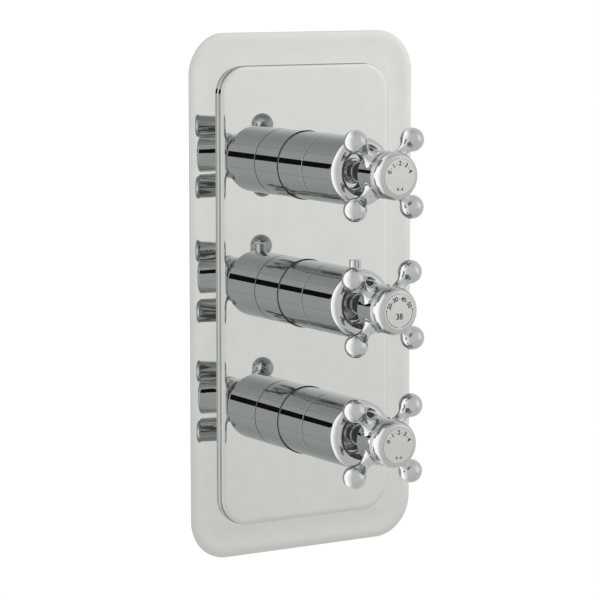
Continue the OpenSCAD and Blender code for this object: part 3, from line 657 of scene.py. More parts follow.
def bump(graph: Graph, shader: bpy.types.Node, height: bpy.types.NodeSocket, size: float) -> None:
    """Joins a height to a shader's normal.

    Args:
        graph: The material's graph.
        shader: Its surface shader.
        height: The height, from 0 to about 1.
        size: Height of 1 in metres.
    """
    node = graph.add("ShaderNodeBump", {"Height": height, "Distance": size, "Strength": 1.0})
    graph.tree.links.new(node.outputs["Normal"], shader.inputs["Normal"])


def opaque(colour: Colour) -> tuple[float, float, float, float]:
    """Gives a colour its alpha."""
    return (*colour, 1.0)


def dimmed(colour: Colour, share: float) -> Colour:
    """Gives a share of a colour."""
    return tuple(part * share for part in colour)


@dataclass(frozen=True)
class MirrorMetal:
    """Polished chrome plating.

    From the third reflection on, the metal turns black and gives a plain glow instead: painted
    light that stands in for the light in deep recesses, so that they stay free of grain.

    Attributes:
        name: Name of the finish.
        colour: Share of light that it reflects.
        gloss: Roughness of clean metal.
        smear: Roughness that a faint smear adds.
        wave_height: Height in metres of the slow waves in the surface.
        wave_scale: Waves in a metre.
        back_gloss: Roughness that faces towards the wall add, where the plating isn't buffed.
        back_lean: How squarely a face looks at the wall where that starts and where it is full.
        smeared: Share of the colour that a smear leaves.
        unbuffed: Share of the colour that faces towards the wall keep.
        mirrored_times: Reflections after which the painted glow takes over.
        glow: Colour of that glow, which is painted light for deep recesses and not a lamp.
    """

    name: str
    colour: Colour
    gloss: float
    smear: float
    wave_height: float
    wave_scale: float
    back_gloss: float = 0.0
    back_lean: tuple[float, float] = (0.3, 0.6)
    smeared: float = 0.965
    unbuffed: float = 0.62
    mirrored_times: float = 2.5
    glow: Colour = (0.19, 0.19, 0.175)

    def material(self, shelf: EffectShelf) -> bpy.types.Material:
        """Builds the finish.

        Args:
            shelf: The shared node groups.

        Returns:
            The material.
        """
        material, graph, shader, place = begin(self.name)
        polish = shelf.place(graph, Effect.POLISH, Vector=place, Wave_scale=self.wave_scale,
                             Smear_scale=70.0, Smear=1.0, Hairlines=0.004)
        smears = polish.outputs["Smears"]
        colour = graph.blend(smears, opaque(self.colour), opaque(dimmed(self.colour, self.smeared)))
        rough = graph.remap(smears, 0.0, 1.0, self.gloss, self.gloss + self.smear, smooth=False)
        if self.back_gloss:
            normal = graph.add("ShaderNodeTexCoord").outputs["Normal"]
            inward = graph.add("ShaderNodeSeparateXYZ", {"Vector": normal}).outputs["Y"]
            back = graph.remap(inward, *self.back_lean)
            rough = graph.math("MULTIPLY_ADD", back, self.back_gloss, rough)
            colour = graph.blend(back, colour, opaque(dimmed(self.colour, self.unbuffed)))
        graph.tree.links.new(rough, shader.inputs["Roughness"])
        # Painted light: from the third reflection on, the base colour goes black and a plain emission
        # stands in for the light in deep recesses.
        depth = graph.add("ShaderNodeLightPath").outputs["Glossy Depth"]
        painted_glow_share = graph.math("GREATER_THAN", depth, self.mirrored_times)
        black = opaque((0.0, 0.0, 0.0))
        graph.tree.links.new(graph.blend(painted_glow_share, colour, black), shader.inputs["Base Color"])
        glow = graph.blend(painted_glow_share, black, opaque(self.glow))
        graph.tree.links.new(glow, shader.inputs["Emission Color"])
        shader.inputs["Emission Strength"].default_value = 1.0
        shader.inputs["Metallic"].default_value = 1.0
        bump(graph, shader, polish.outputs["Height"], self.wave_height)
        return material


@dataclass(frozen=True)
class TurnedMetal:
    """Machined metal with the rings that a lathe leaves.

    Attributes:
        name: Name of the finish.
        colour: Clean colour.
        stained: Colour of a tarnished patch.
        gloss: Roughness.
        pitch: Distance between rings in metres.
        depth: Depth of a ring in metres.
        dulled: Roughness that tarnish adds.
    """

    name: str
    colour: Colour
    stained: Colour
    gloss: float
    pitch: float = 0.0003
    depth: float = 0.000008
    dulled: float = 0.12

    def material(self, shelf: EffectShelf) -> bpy.types.Material:
        """Builds the finish.

        Args:
            shelf: The shared node groups.

        Returns:
            The material.
        """
        material, graph, shader, place = begin(self.name)
        marks = shelf.place(graph, Effect.FEED_MARKS, Vector=place, Pitch=self.pitch,
                            Spacing=Control.TOP.height - Control.THERMOSTAT.height)
        shade = marks.outputs["Shade"]
        graph.tree.links.new(
            graph.blend(shade, opaque(self.colour), opaque(self.stained)), shader.inputs["Base Color"]
        )
        rough = graph.remap(shade, 0.0, 1.0, self.gloss, self.gloss + self.dulled, smooth=False)
        graph.tree.links.new(rough, shader.inputs["Roughness"])
        shader.inputs["Metallic"].default_value = 1.0
        bump(graph, shader, marks.outputs["Height"], self.depth)
        return material


@dataclass(frozen=True)
class CastMetal:
    """Rough cast brass.

    Attributes:
        name: Name of the finish.
        colour: Clean colour.
        stained: Colour of a tarnished patch.
        pitted: Colour in a pit.
        gloss: Roughness.
        grain_scale: Grains in a metre.
        grain: Height of the grain in metres.
        pit_share: How much of a pit's colour shows.
        dulled: Roughness that tarnish adds.
        metal: How metallic the skin is.
    """

    name: str
    colour: Colour
    stained: Colour
    pitted: Colour
    gloss: float
    grain_scale: float
    grain: float
    pit_share: float = 0.6
    dulled: float = 0.15
    metal: float = 0.9

    def material(self, shelf: EffectShelf) -> bpy.types.Material:
        """Builds the finish.

        Args:
            shelf: The shared node groups.

        Returns:
            The material.
        """
        material, graph, shader, place = begin(self.name)
        skin = shelf.place(graph, Effect.CAST_GRAIN, Vector=place, Grain_scale=self.grain_scale)
        tarnish = graph.blend(skin.outputs["Stain"], opaque(self.colour), opaque(self.stained))
        pits = graph.math("MULTIPLY", skin.outputs["Pits"], self.pit_share)
        graph.tree.links.new(graph.blend(pits, tarnish, opaque(self.pitted)), shader.inputs["Base Color"])
        rough = graph.remap(skin.outputs["Stain"], 0.0, 1.0, self.gloss, self.gloss + self.dulled,
                            smooth=False)
        graph.tree.links.new(rough, shader.inputs["Roughness"])
        shader.inputs["Metallic"].default_value = self.metal
        bump(graph, shader, skin.outputs["Height"], self.grain)
        return material


@dataclass(frozen=True)
class Moulded:
    """A moulded, pressed or fired material that isn't metal.

    Attributes:
        name: Name of the finish.
        colour: Main colour.
        shaded: Colour of its darker patches.
        gloss: Roughness.
        grain_scale: Grains in a metre.
        grain: Height of the grain in metres.
        dulled: Roughness that the darker patches add.
    """

    name: str
    colour: Colour
    shaded: Colour
    gloss: float
    grain_scale: float
    grain: float
    dulled: float = 0.1

    def material(self, shelf: EffectShelf) -> bpy.types.Material:
        """Builds the finish.

        Args:
            shelf: The shared node groups.

        Returns:
            The material.
        """
        material, graph, shader, place = begin(self.name)
        skin = shelf.place(graph, Effect.MOULD_GRAIN, Vector=place, Grain_scale=self.grain_scale)
        shade = skin.outputs["Shade"]
        graph.tree.links.new(
            graph.blend(shade, opaque(self.colour), opaque(self.shaded)), shader.inputs["Base Color"]
        )
        dull = min(1.0, self.gloss + self.dulled)
        rough = graph.remap(shade, 0.0, 1.0, self.gloss, dull, smooth=False)
        graph.tree.links.new(rough, shader.inputs["Roughness"])
        bump(graph, shader, skin.outputs["Height"], self.grain)
        return material


class FinishRack:
    """Holds one material for each of the record's slots, and the marks' enamel."""

    CHROME: Colour = (0.553, 0.566, 0.562)
    DIAL: Colour = (0.600, 0.606, 0.570)
    PLATE: Colour = (0.668, 0.672, 0.642)

    def __init__(self, shelf: EffectShelf) -> None:
        """Builds every finish.

        Args:
            shelf: The shared node groups.
        """
        finishes = {**self.metals(), **self.mouldings()}
        self.by_slot = {slot: finish.material(shelf) for slot, finish in finishes.items()}
        enamel = Moulded("black_enamel", (0.012, 0.012, 0.013), (0.02, 0.02, 0.021), gloss=0.3,
                         grain_scale=3000.0, grain=0.000002)
        self.enamel = enamel.material(shelf)

    def metals(self) -> dict[Slot, MirrorMetal | CastMetal | TurnedMetal]:
        """Lists the finishes of the metal pieces.

        Returns:
            Each slot's finish.
        """
        return {
            Slot.PLATE: MirrorMetal("plate_chrome", self.PLATE, gloss=0.008, smear=0.012,
                                    wave_height=0.0000015, wave_scale=30.0, back_gloss=0.32),
            Slot.TURNED: MirrorMetal("turned_chrome", self.CHROME, gloss=0.012, smear=0.014,
                                     wave_height=0.0000015, wave_scale=60.0),
            Slot.INDEX: MirrorMetal("index_chrome", self.DIAL, gloss=0.10, smear=0.05,
                                    wave_height=0.000001, wave_scale=80.0),
            Slot.CASTING: CastMetal("cast_brass", (0.62, 0.46, 0.24), stained=(0.42, 0.30, 0.16),
                                    pitted=(0.20, 0.14, 0.08), gloss=0.42, grain_scale=1600.0,
                                    grain=0.00012),
            Slot.BRASS: TurnedMetal("machined_brass", (0.78, 0.60, 0.30),
                                    stained=(0.64, 0.47, 0.23), gloss=0.20),
            Slot.STEEL: TurnedMetal("stainless_steel", (0.60, 0.60, 0.59),
                                    stained=(0.50, 0.50, 0.49), gloss=0.24),
            Slot.COPPER: TurnedMetal("copper_sheath", (0.78, 0.42, 0.30),
                                     stained=(0.60, 0.31, 0.22), gloss=0.26),
        }

    @staticmethod
    def mouldings() -> dict[Slot, Moulded]:
        """Lists the finishes of the rubber, plastic and ceramic pieces.

        Returns:
            Each slot's finish.
        """
        return {
            Slot.RUBBER: Moulded("rubber", (0.022, 0.022, 0.023), shaded=(0.035, 0.035, 0.036),
                                 gloss=0.55, grain_scale=2600.0, grain=0.00002),
            Slot.FOAM: Moulded("foam", (0.085, 0.088, 0.092), shaded=(0.045, 0.047, 0.05),
                               gloss=0.9, grain_scale=1100.0, grain=0.00018),
            Slot.FIBRE: Moulded("fibre_washer", (0.38, 0.07, 0.045), shaded=(0.26, 0.05, 0.035),
                                gloss=0.75, grain_scale=3200.0, grain=0.00006),
            Slot.WHITE: Moulded("white_acetal", (0.80, 0.79, 0.74), shaded=(0.74, 0.73, 0.68),
                                gloss=0.35, grain_scale=2500.0, grain=0.00001),
            Slot.BLUE: Moulded("blue_acetal", (0.04, 0.16, 0.50), shaded=(0.03, 0.12, 0.42),
                               gloss=0.35, grain_scale=2500.0, grain=0.00001),
            Slot.RED: Moulded("red_acetal", (0.55, 0.035, 0.03), shaded=(0.45, 0.03, 0.025),
                              gloss=0.35, grain_scale=2500.0, grain=0.00001),
            Slot.CERAMIC: Moulded("ceramic", (0.86, 0.85, 0.82), shaded=(0.82, 0.81, 0.78),
                                  gloss=0.12, grain_scale=4000.0, grain=0.000002),
        }

    def __getitem__(self, slot: Slot) -> bpy.types.Material:
        """Gives a slot's material."""
        return self.by_slot[slot]


@dataclass(frozen=True)
class Outline:
    """One rounded outline of the faceplate, in millimetres."""

    width: float
    height: float
    corner: float
    depth: float


@dataclass
class Faceplate:
    """The pressed faceplate: a flat border, a raised panel and three sleeve holes."""

    corner: float = 24.0
    edge: float = 0.5
    border: float = 19.0
    border_roll: float = 6.5
    border_drop: float = 0.305
    border_fall: float = 0.030
    border_lift: float = 0.021
    metal: float = 2.5
    panel_corner: float = 16.5
    panel_edge: float = 0.8
    panel_roll: float = 3.0
    panel_drop: float = 0.15
    panel_root: float = 0.5
    roll_steps: int = 8
    back_edge: float = 0.3
    hole_clearance: float = 0.3
    hole_edge: float = 0.25
    groove_outer: float = 4.0
    groove_inner: float = 10.0
    groove: float = 1.0

    def plate(self, inset: float, depth: float) -> Outline:
        """Gives an outline inside the plate's edge.

        Args:
            inset: How far inside.
            depth: Its depth.

        Returns:
            The outline.
        """
        lo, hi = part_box("faceplate")
        width, height = (hi.x - lo.x) / MM, (hi.z - lo.z) / MM
        return Outline(width - 2 * inset, height - 2 * inset, self.corner - inset, depth)

    def panel(self, inset: float, depth: float) -> Outline:
        """Gives an outline inside the raised panel's edge.

        Args:
            inset: How far inside.
            depth: Its depth.

        Returns:
            The outline.
        """
        whole = self.plate(self.border + inset, depth)
        return Outline(whole.width, whole.height, self.panel_corner - inset, depth)

    def rings(self) -> list[Outline]:
        """Lists the plate's outlines from the front of the panel round to the hollow behind it.

        Returns:
            The outlines in order.
        """
        back, front = span("faceplate")
        border_front = back + self.metal
        quarter = [math.radians(90 * i / FILLET_STEPS) for i in range(FILLET_STEPS + 1)]
        rolled = [i / self.roll_steps for i in range(self.roll_steps)]
        found = []
        for share in rolled:
            found.append(self.panel(self.panel_edge + self.panel_roll * (1 - share),
                                    front - self.panel_drop * share ** 3))
        low_front = front - self.panel_drop
        for a in reversed(quarter):
            found.append(self.panel(self.panel_edge * (1 - math.cos(a)),
                                    low_front - self.panel_edge * (1 - math.sin(a))))
        for a in quarter:
            found.append(self.panel(-self.panel_root * (1 - math.cos(a)),
                                    border_front + self.panel_root * (1 - math.sin(a))))
        rolled_edge = self.edge + self.border_roll
        dished = self.border - self.panel_root - rolled_edge
        bend = self.border_fall + self.border_lift
        for step in range(1, 2 * self.roll_steps):
            out = dished * step / (2 * self.roll_steps)
            drop = self.border_fall * out - bend * out ** 2 / (2 * dished)
            found.append(self.plate(rolled_edge + dished - out, border_front - drop))
        dish = border_front - dished * (self.border_fall - self.border_lift) / 2
        for share in rolled:
            out = self.border_roll * share
            lift = self.border_lift * out - self.border_drop * share ** 3
            found.append(self.plate(rolled_edge - out, dish + lift))
        low_border = dish + self.border_lift * self.border_roll - self.border_drop
        for a in reversed(quarter):
            found.append(self.plate(self.edge * (1 - math.cos(a)),
                                    low_border - self.edge * (1 - math.sin(a))))
        return found + [
            self.plate(0, back + self.back_edge), self.plate(self.back_edge, back),
            self.plate(self.groove_outer, back), self.plate(self.groove_outer, back + self.groove),
            self.plate(self.groove_inner, back + self.groove), self.plate(self.groove_inner, back),
            self.panel(self.metal, back), self.panel(self.metal, front - self.metal),
        ]

    @staticmethod
    def outline(bm: bmesh.types.BMesh, ring: Outline) -> list[bmesh.types.BMEdge]:
        """Adds one rounded outline.

        Args:
            bm: The mesh that it goes into.
            ring: The outline's sizes.

        Returns:
            Its edges.
        """
        old = set(bm.faces)
        shape = Matrix.Diagonal((ring.width, ring.height, 1, 1))
        corners = bmesh.ops.create_grid(bm, x_segments=1, y_segments=1, size=0.5,
                                        matrix=Matrix.Translation((0, 0, ring.depth)) @ shape)["verts"]
        bmesh.ops.bevel(bm, geom=corners, offset=ring.corner, offset_type="OFFSET", affect="VERTICES",
                        segments=CORNER_STEPS, profile=0.5, material=-1, clamp_overlap=False)
        face = next(f for f in bm.faces if f not in old)
        edges = list(face.edges)
        bmesh.ops.delete(bm, geom=[face], context="FACES_ONLY")
        return edges

    @staticmethod
    def circle(bm: bmesh.types.BMesh, height: float, radius: float,
               depth: float) -> list[bmesh.types.BMEdge]:
        """Adds a round outline for a sleeve hole.

        Args:
            bm: The mesh that it goes into.
            height: Height of its centre in millimetres.
            radius: Its radius.
            depth: Its depth.

        Returns:
            Its edges.
        """
        made = bmesh.ops.create_circle(bm, cap_ends=False, radius=radius, segments=TURN_STEPS,
                                       matrix=Matrix.Translation((0, height, depth)))["verts"]
        return list({e for v in made for e in v.link_edges})

    def build(self, finishes: FinishRack) -> None:
        """Builds and fits the plate.

        Args:
            finishes: The materials.
        """
        bm = bmesh.new()
        loops = [self.outline(bm, ring) for ring in self.rings()]
        for near, far in zip(loops, loops[1:]):
            bmesh.ops.bridge_loops(bm, edges=near + far)
        _, front = span("faceplate")
        hole = half_width("top_sleeve") + self.hole_clearance
        panel_back = front - self.metal
        fronts, backs = list(loops[0]), list(loops[-1])
        for control in Control:
            height = control.height / MM
            lips = [
                self.circle(bm, height, hole + self.hole_edge, front),
                self.circle(bm, height, hole, front - self.hole_edge),
                self.circle(bm, height, hole, panel_back),
            ]
            for near, far in zip(lips, lips[1:]):
                bmesh.ops.bridge_loops(bm, edges=near + far)
            fronts += lips[0]
            backs += lips[-1]
        bmesh.ops.triangle_fill(bm, use_beauty=True, edges=fronts, normal=(0, 0, 1))
        bmesh.ops.triangle_fill(bm, use_beauty=True, edges=backs, normal=(0, 0, -1))
        bmesh.ops.recalc_face_normals(bm, faces=bm.faces)
        at_control(bm, 0.0)
        plate = as_object(bm, "faceplate_chromed", finishes[Slot.PLATE])
        fit(plate, "valve", Slot.PLATE, "faceplate")


@dataclass
class Sleeve:
    """A fixed sleeve round a control's spindle, with a web behind and an O-ring groove."""

    control: Control
    wall: float = 2.0
    web: float = 3.0
    web_bore: float = 8.1
    edge: float = 0.18
    seam: float = 0.25
    groove_half: float = 1.1
    groove_depth: float = 0.8
    groove_edge: float = 0.1
    web_root: float = 0.4

    def build(self, finishes: FinishRack) -> None:
        """Builds and fits the sleeve.

        Args:
            finishes: The materials.
        """
        node = f"{self.control.value}_sleeve"
        radius = half_width(node)
        back, front = span(node)
        front -= self.seam
        ring_back, ring_front = span("sleeve_o_rings")
        ring = (ring_back + ring_front) / 2
        bore = radius - self.wall
        low = ring - self.groove_half
        high = ring + self.groove_half
        section = eased([
            Corner(self.web_bore, back, self.edge), Corner(radius, back, self.edge),
            Corner(radius, low, self.groove_edge), Corner(radius - self.groove_depth, low),
            Corner(radius - self.groove_depth, high), Corner(radius, high, self.groove_edge),
            Corner(radius, front, self.edge), Corner(bore, front, self.edge),
            Corner(bore, back + self.web, self.web_root),
            Corner(self.web_bore, back + self.web, self.edge),
        ])
        bm = at_control(turned(section), self.control.height)
        fit(as_object(bm, f"{node}_chromed", finishes[Slot.TURNED]), "valve", Slot.TURNED, node)


@dataclass
class Barrel:
    """A turning handle barrel: a thin tube with a domed shoulder and a recess round the neck."""

    control: Control
    wall: float = 2.0
    back_edge: float = 0.18
    seam: float = 0.2
    rise: float = 5.0
    lip: float = 14.5
    lip_width: float = 0.5
    lip_drop: float = 0.4
    lip_edge: float = 0.4
    shoulder_wall: float = 2.0
    shoulder_steps: int = 32
    recess: float = 11.3
    recess_depth: float = 7.4
    mouth_rise: float = 0.6
    mouth_edge: float = 0.6
    cup_wall: float = 2.0
    cup_rise: float = 1.0
    floor: float = 3.0
    floor_bore: float = 4.1
    root: float = 0.8
    button_hole: float = 3.45
    button_back: float = 4.9

    def shoulder(self, outer: float, depth: float, rise: float) -> list[Vector]:
        """Draws a quarter of an ellipse in to the lip's radius.

        Args:
            outer: Radius that it starts at.
            depth: Depth that it starts at.
            rise: How far out it climbs.

        Returns:
            Its points from the outside in.
        """
        return arc(Corner(self.lip, depth), outer - self.lip, rise, 0, 90, self.shoulder_steps)

    def build(self, finishes: FinishRack) -> None:
        """Builds and fits the barrel.

        Args:
            finishes: The materials.
        """
        node = f"{self.control.value}_barrel"
        radius = half_width(node)
        back, front = span(node)
        bore = radius - self.wall
        cup = self.recess + self.cup_wall
        root = front - self.rise
        floor_front = root - self.recess_depth
        floor_back = floor_front - self.floor
        section = eased([
            Corner(bore, root), Corner(bore, back + self.seam, self.back_edge),
            Corner(radius, back + self.seam, self.back_edge), Corner(radius, root),
        ], closed=False)[1:-1]
        section += self.shoulder(radius, root, self.rise)
        section += eased([
            Corner(self.lip, front),
            Corner(self.lip - self.lip_width, front - self.lip_drop, self.lip_edge),
            Corner(self.recess, root + self.mouth_rise, self.mouth_edge),
            Corner(self.recess, floor_front, self.root),
            Corner(self.floor_bore, floor_front), Corner(self.floor_bore, floor_back),
            Corner(cup, floor_back), Corner(cup, root + self.cup_rise),
        ], closed=False)[1:]
        section += reversed(self.shoulder(bore, root, self.rise - self.shoulder_wall))
        bm = at_control(turned(section), self.control.height)
        barrel = as_object(bm, f"{node}_chromed", finishes[Slot.TURNED])
        if self.control is Control.THERMOSTAT:
            drill = bmesh.new()
            bmesh.ops.create_cone(
                drill, cap_ends=True, segments=64, radius1=self.button_hole, radius2=self.button_hole,
                depth=2 * self.wall, matrix=Matrix.Translation((0, 0, radius)),
            )
            place = Matrix.Translation((0, -(root - self.button_back) * MM, 0)) @ Matrix.Scale(MM, 4)
            bmesh.ops.transform(drill, matrix=place, verts=drill.verts)
            cut(barrel, drill)
            sharpen(barrel)
        fit(barrel, self.control.body, Slot.TURNED, node)


@dataclass
class SafetyButton:
    """The button on the thermostat's barrel, with a flange that keeps it in and a catch behind."""

    radius: float = 3.4
    top_edge: float = 0.5
    crown: float = 0.08
    flange_thickness: float = 0.8
    flange_edge: float = 0.1
    catch_width: float = 4.0
    catch_edge: float = 0.15
    turn_steps: int = 96

    def catch(self, axis: float) -> bmesh.types.BMesh:
        """Builds the catch, which reaches from the flange towards the wall and the stop ring.

        Args:
            axis: The button's own axis, as a Y in metres.

        Returns:
            The catch's solid in the frame's metres.
        """
        lo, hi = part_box("safety_button")
        bm = bmesh.new()
        size = Matrix.Diagonal((self.catch_width * MM, hi.y - axis, self.flange_thickness * MM, 1))
        middle = Matrix.Translation((0, (hi.y + axis) / 2, lo.z + self.flange_thickness * MM / 2))
        bmesh.ops.create_cube(bm, size=1.0, matrix=middle @ size)
        ends = [e for e in bm.edges if all(v.co.y > axis + MM for v in e.verts)]
        bmesh.ops.bevel(bm, geom=ends, offset=self.catch_edge * MM, affect="EDGES", segments=3,
                        profile=0.5, material=-1)
        return bm

    def build(self, finishes: FinishRack) -> None:
        """Builds and fits the button.

        Args:
            finishes: The materials.
        """
        lo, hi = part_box("safety_button")
        flange = half_width("safety_button")
        foot, top = lo.z / MM, hi.z / MM
        section = eased([
            Corner(0, foot), Corner(flange, foot, self.flange_edge),
            Corner(flange, foot + self.flange_thickness, self.flange_edge),
            Corner(self.radius, foot + self.flange_thickness, self.flange_edge),
            Corner(self.radius, top - self.crown, self.top_edge), Corner(0, top),
        ], closed=False)
        bm = turned(section, closed=False, steps=self.turn_steps)
        axis = lo.y + flange * MM
        place = Matrix.Translation((0, axis, 0)) @ Matrix.Scale(MM, 4)
        bmesh.ops.transform(bm, matrix=place, verts=bm.verts)
        button = as_object(bm, "safety_button_chromed", finishes[Slot.TURNED])
        cut(button, self.catch(axis), "UNION")
        sharpen(button)
        fit(button, "override_button", Slot.TURNED, "safety_button")


@dataclass
class Neck:
    """The beaded neck between a barrel's floor and its cross-head."""

    control: Control
    radius: float = 5.6
    base: float = 7.2
    base_thickness: float = 2.0
    base_edge: float = 0.4
    root: float = 0.5
    bead_width: float = 1.6
    bead_middle: float = 6.8
    bead_steps: int = 16
    spigot: float = 5.0
    spigot_length: float = 2.1
    bore: float = 4.1

    def build(self, finishes: FinishRack) -> None:
        """Builds and fits the neck.

        Args:
            finishes: The materials.
        """
        node = f"{self.control.value}_neck"
        back, front = span(node)
        shoulder = front - self.spigot_length
        bead = self.bead_width / 2
        section = eased([
            Corner(self.bore, back), Corner(self.base, back, 0.1),
            Corner(self.base, back + self.base_thickness, self.base_edge),
            Corner(self.radius, back + self.base_thickness, self.root),
            Corner(self.radius, back + self.bead_middle - bead),
        ], closed=False)
        middle = Corner(self.radius, back + self.bead_middle)
        section += arc(middle, bead, bead, -90, 90, self.bead_steps)[1:-1]
        section += eased([
            Corner(self.radius, back + self.bead_middle + bead), Corner(self.radius, shoulder, 0.15),
            Corner(self.spigot, shoulder), Corner(self.spigot, front, 0.2), Corner(self.bore, front),
        ], closed=False)
        bm = at_control(turned(section), self.control.height)
        neck = as_object(bm, f"{node}_chromed", finishes[Slot.TURNED])
        fit(neck, self.control.body, Slot.TURNED, node)


@dataclass
class Bezel:
    """The domed bezel that holds an index disc, with a skirt that snaps into the hub."""

    control: Control
    radius: float = 13.4
    rim: float = 1.8
    skirt_wall: float = 1.5
    disc_gap: float = 0.1
    lip: float = 0.2
    dome_steps: int = 16
    crease: float = 36.0

    def build(self, finishes: FinishRack) -> None:
        """Builds and fits the bezel.

        Args:
            finishes: The materials.
        """
        node = f"{self.control.value}_bezel"
        back, front = span(node)
        head_front = span(f"{self.control.value}_cross_head")[1]
        seat, _ = span(f"{self.control.value}_index_disc")
        pocket = half_width(f"{self.control.value}_index_disc") + self.disc_gap
        skirt = CrossHead.cavity - self.disc_gap
        rim_front = head_front + self.rim
        dome_width = self.radius - pocket - self.lip
        dome_height = front - rim_front
        section = eased([
            Corner(skirt - self.skirt_wall, back), Corner(skirt, back, 0.2), Corner(skirt, head_front),
            Corner(self.radius, head_front, 0.25), Corner(self.radius, rim_front),
        ], closed=False)
        middle = Corner(self.radius - dome_width, rim_front)
        section += arc(middle, dome_width, dome_height, 0, 90, self.dome_steps)[1:]
        section += eased([
            Corner(pocket + self.lip, front), Corner(pocket, front, 0.12), Corner(pocket, seat),
            Corner(0, seat),
        ], closed=False)
        section += [Vector((0, 0, seat - self.skirt_wall)),
                    Vector((skirt - self.skirt_wall, 0, seat - self.skirt_wall))]
        bm = at_control(turned(section), self.control.height)
        bezel = as_object(bm, f"{node}_chromed", finishes[Slot.TURNED], crease=self.crease)
        fit(bezel, self.control.body, Slot.TURNED, node)


@dataclass(frozen=True)
class Mark:
    """One mark of an index disc: a few digits or a dot, placed about the disc's centre."""

    text: str
    size: float
    angle: float
    radius: float

    @property
    def upright(self) -> bool:
        """Whether it stands upright, as marks below the centre do."""
        return self.angle > 180


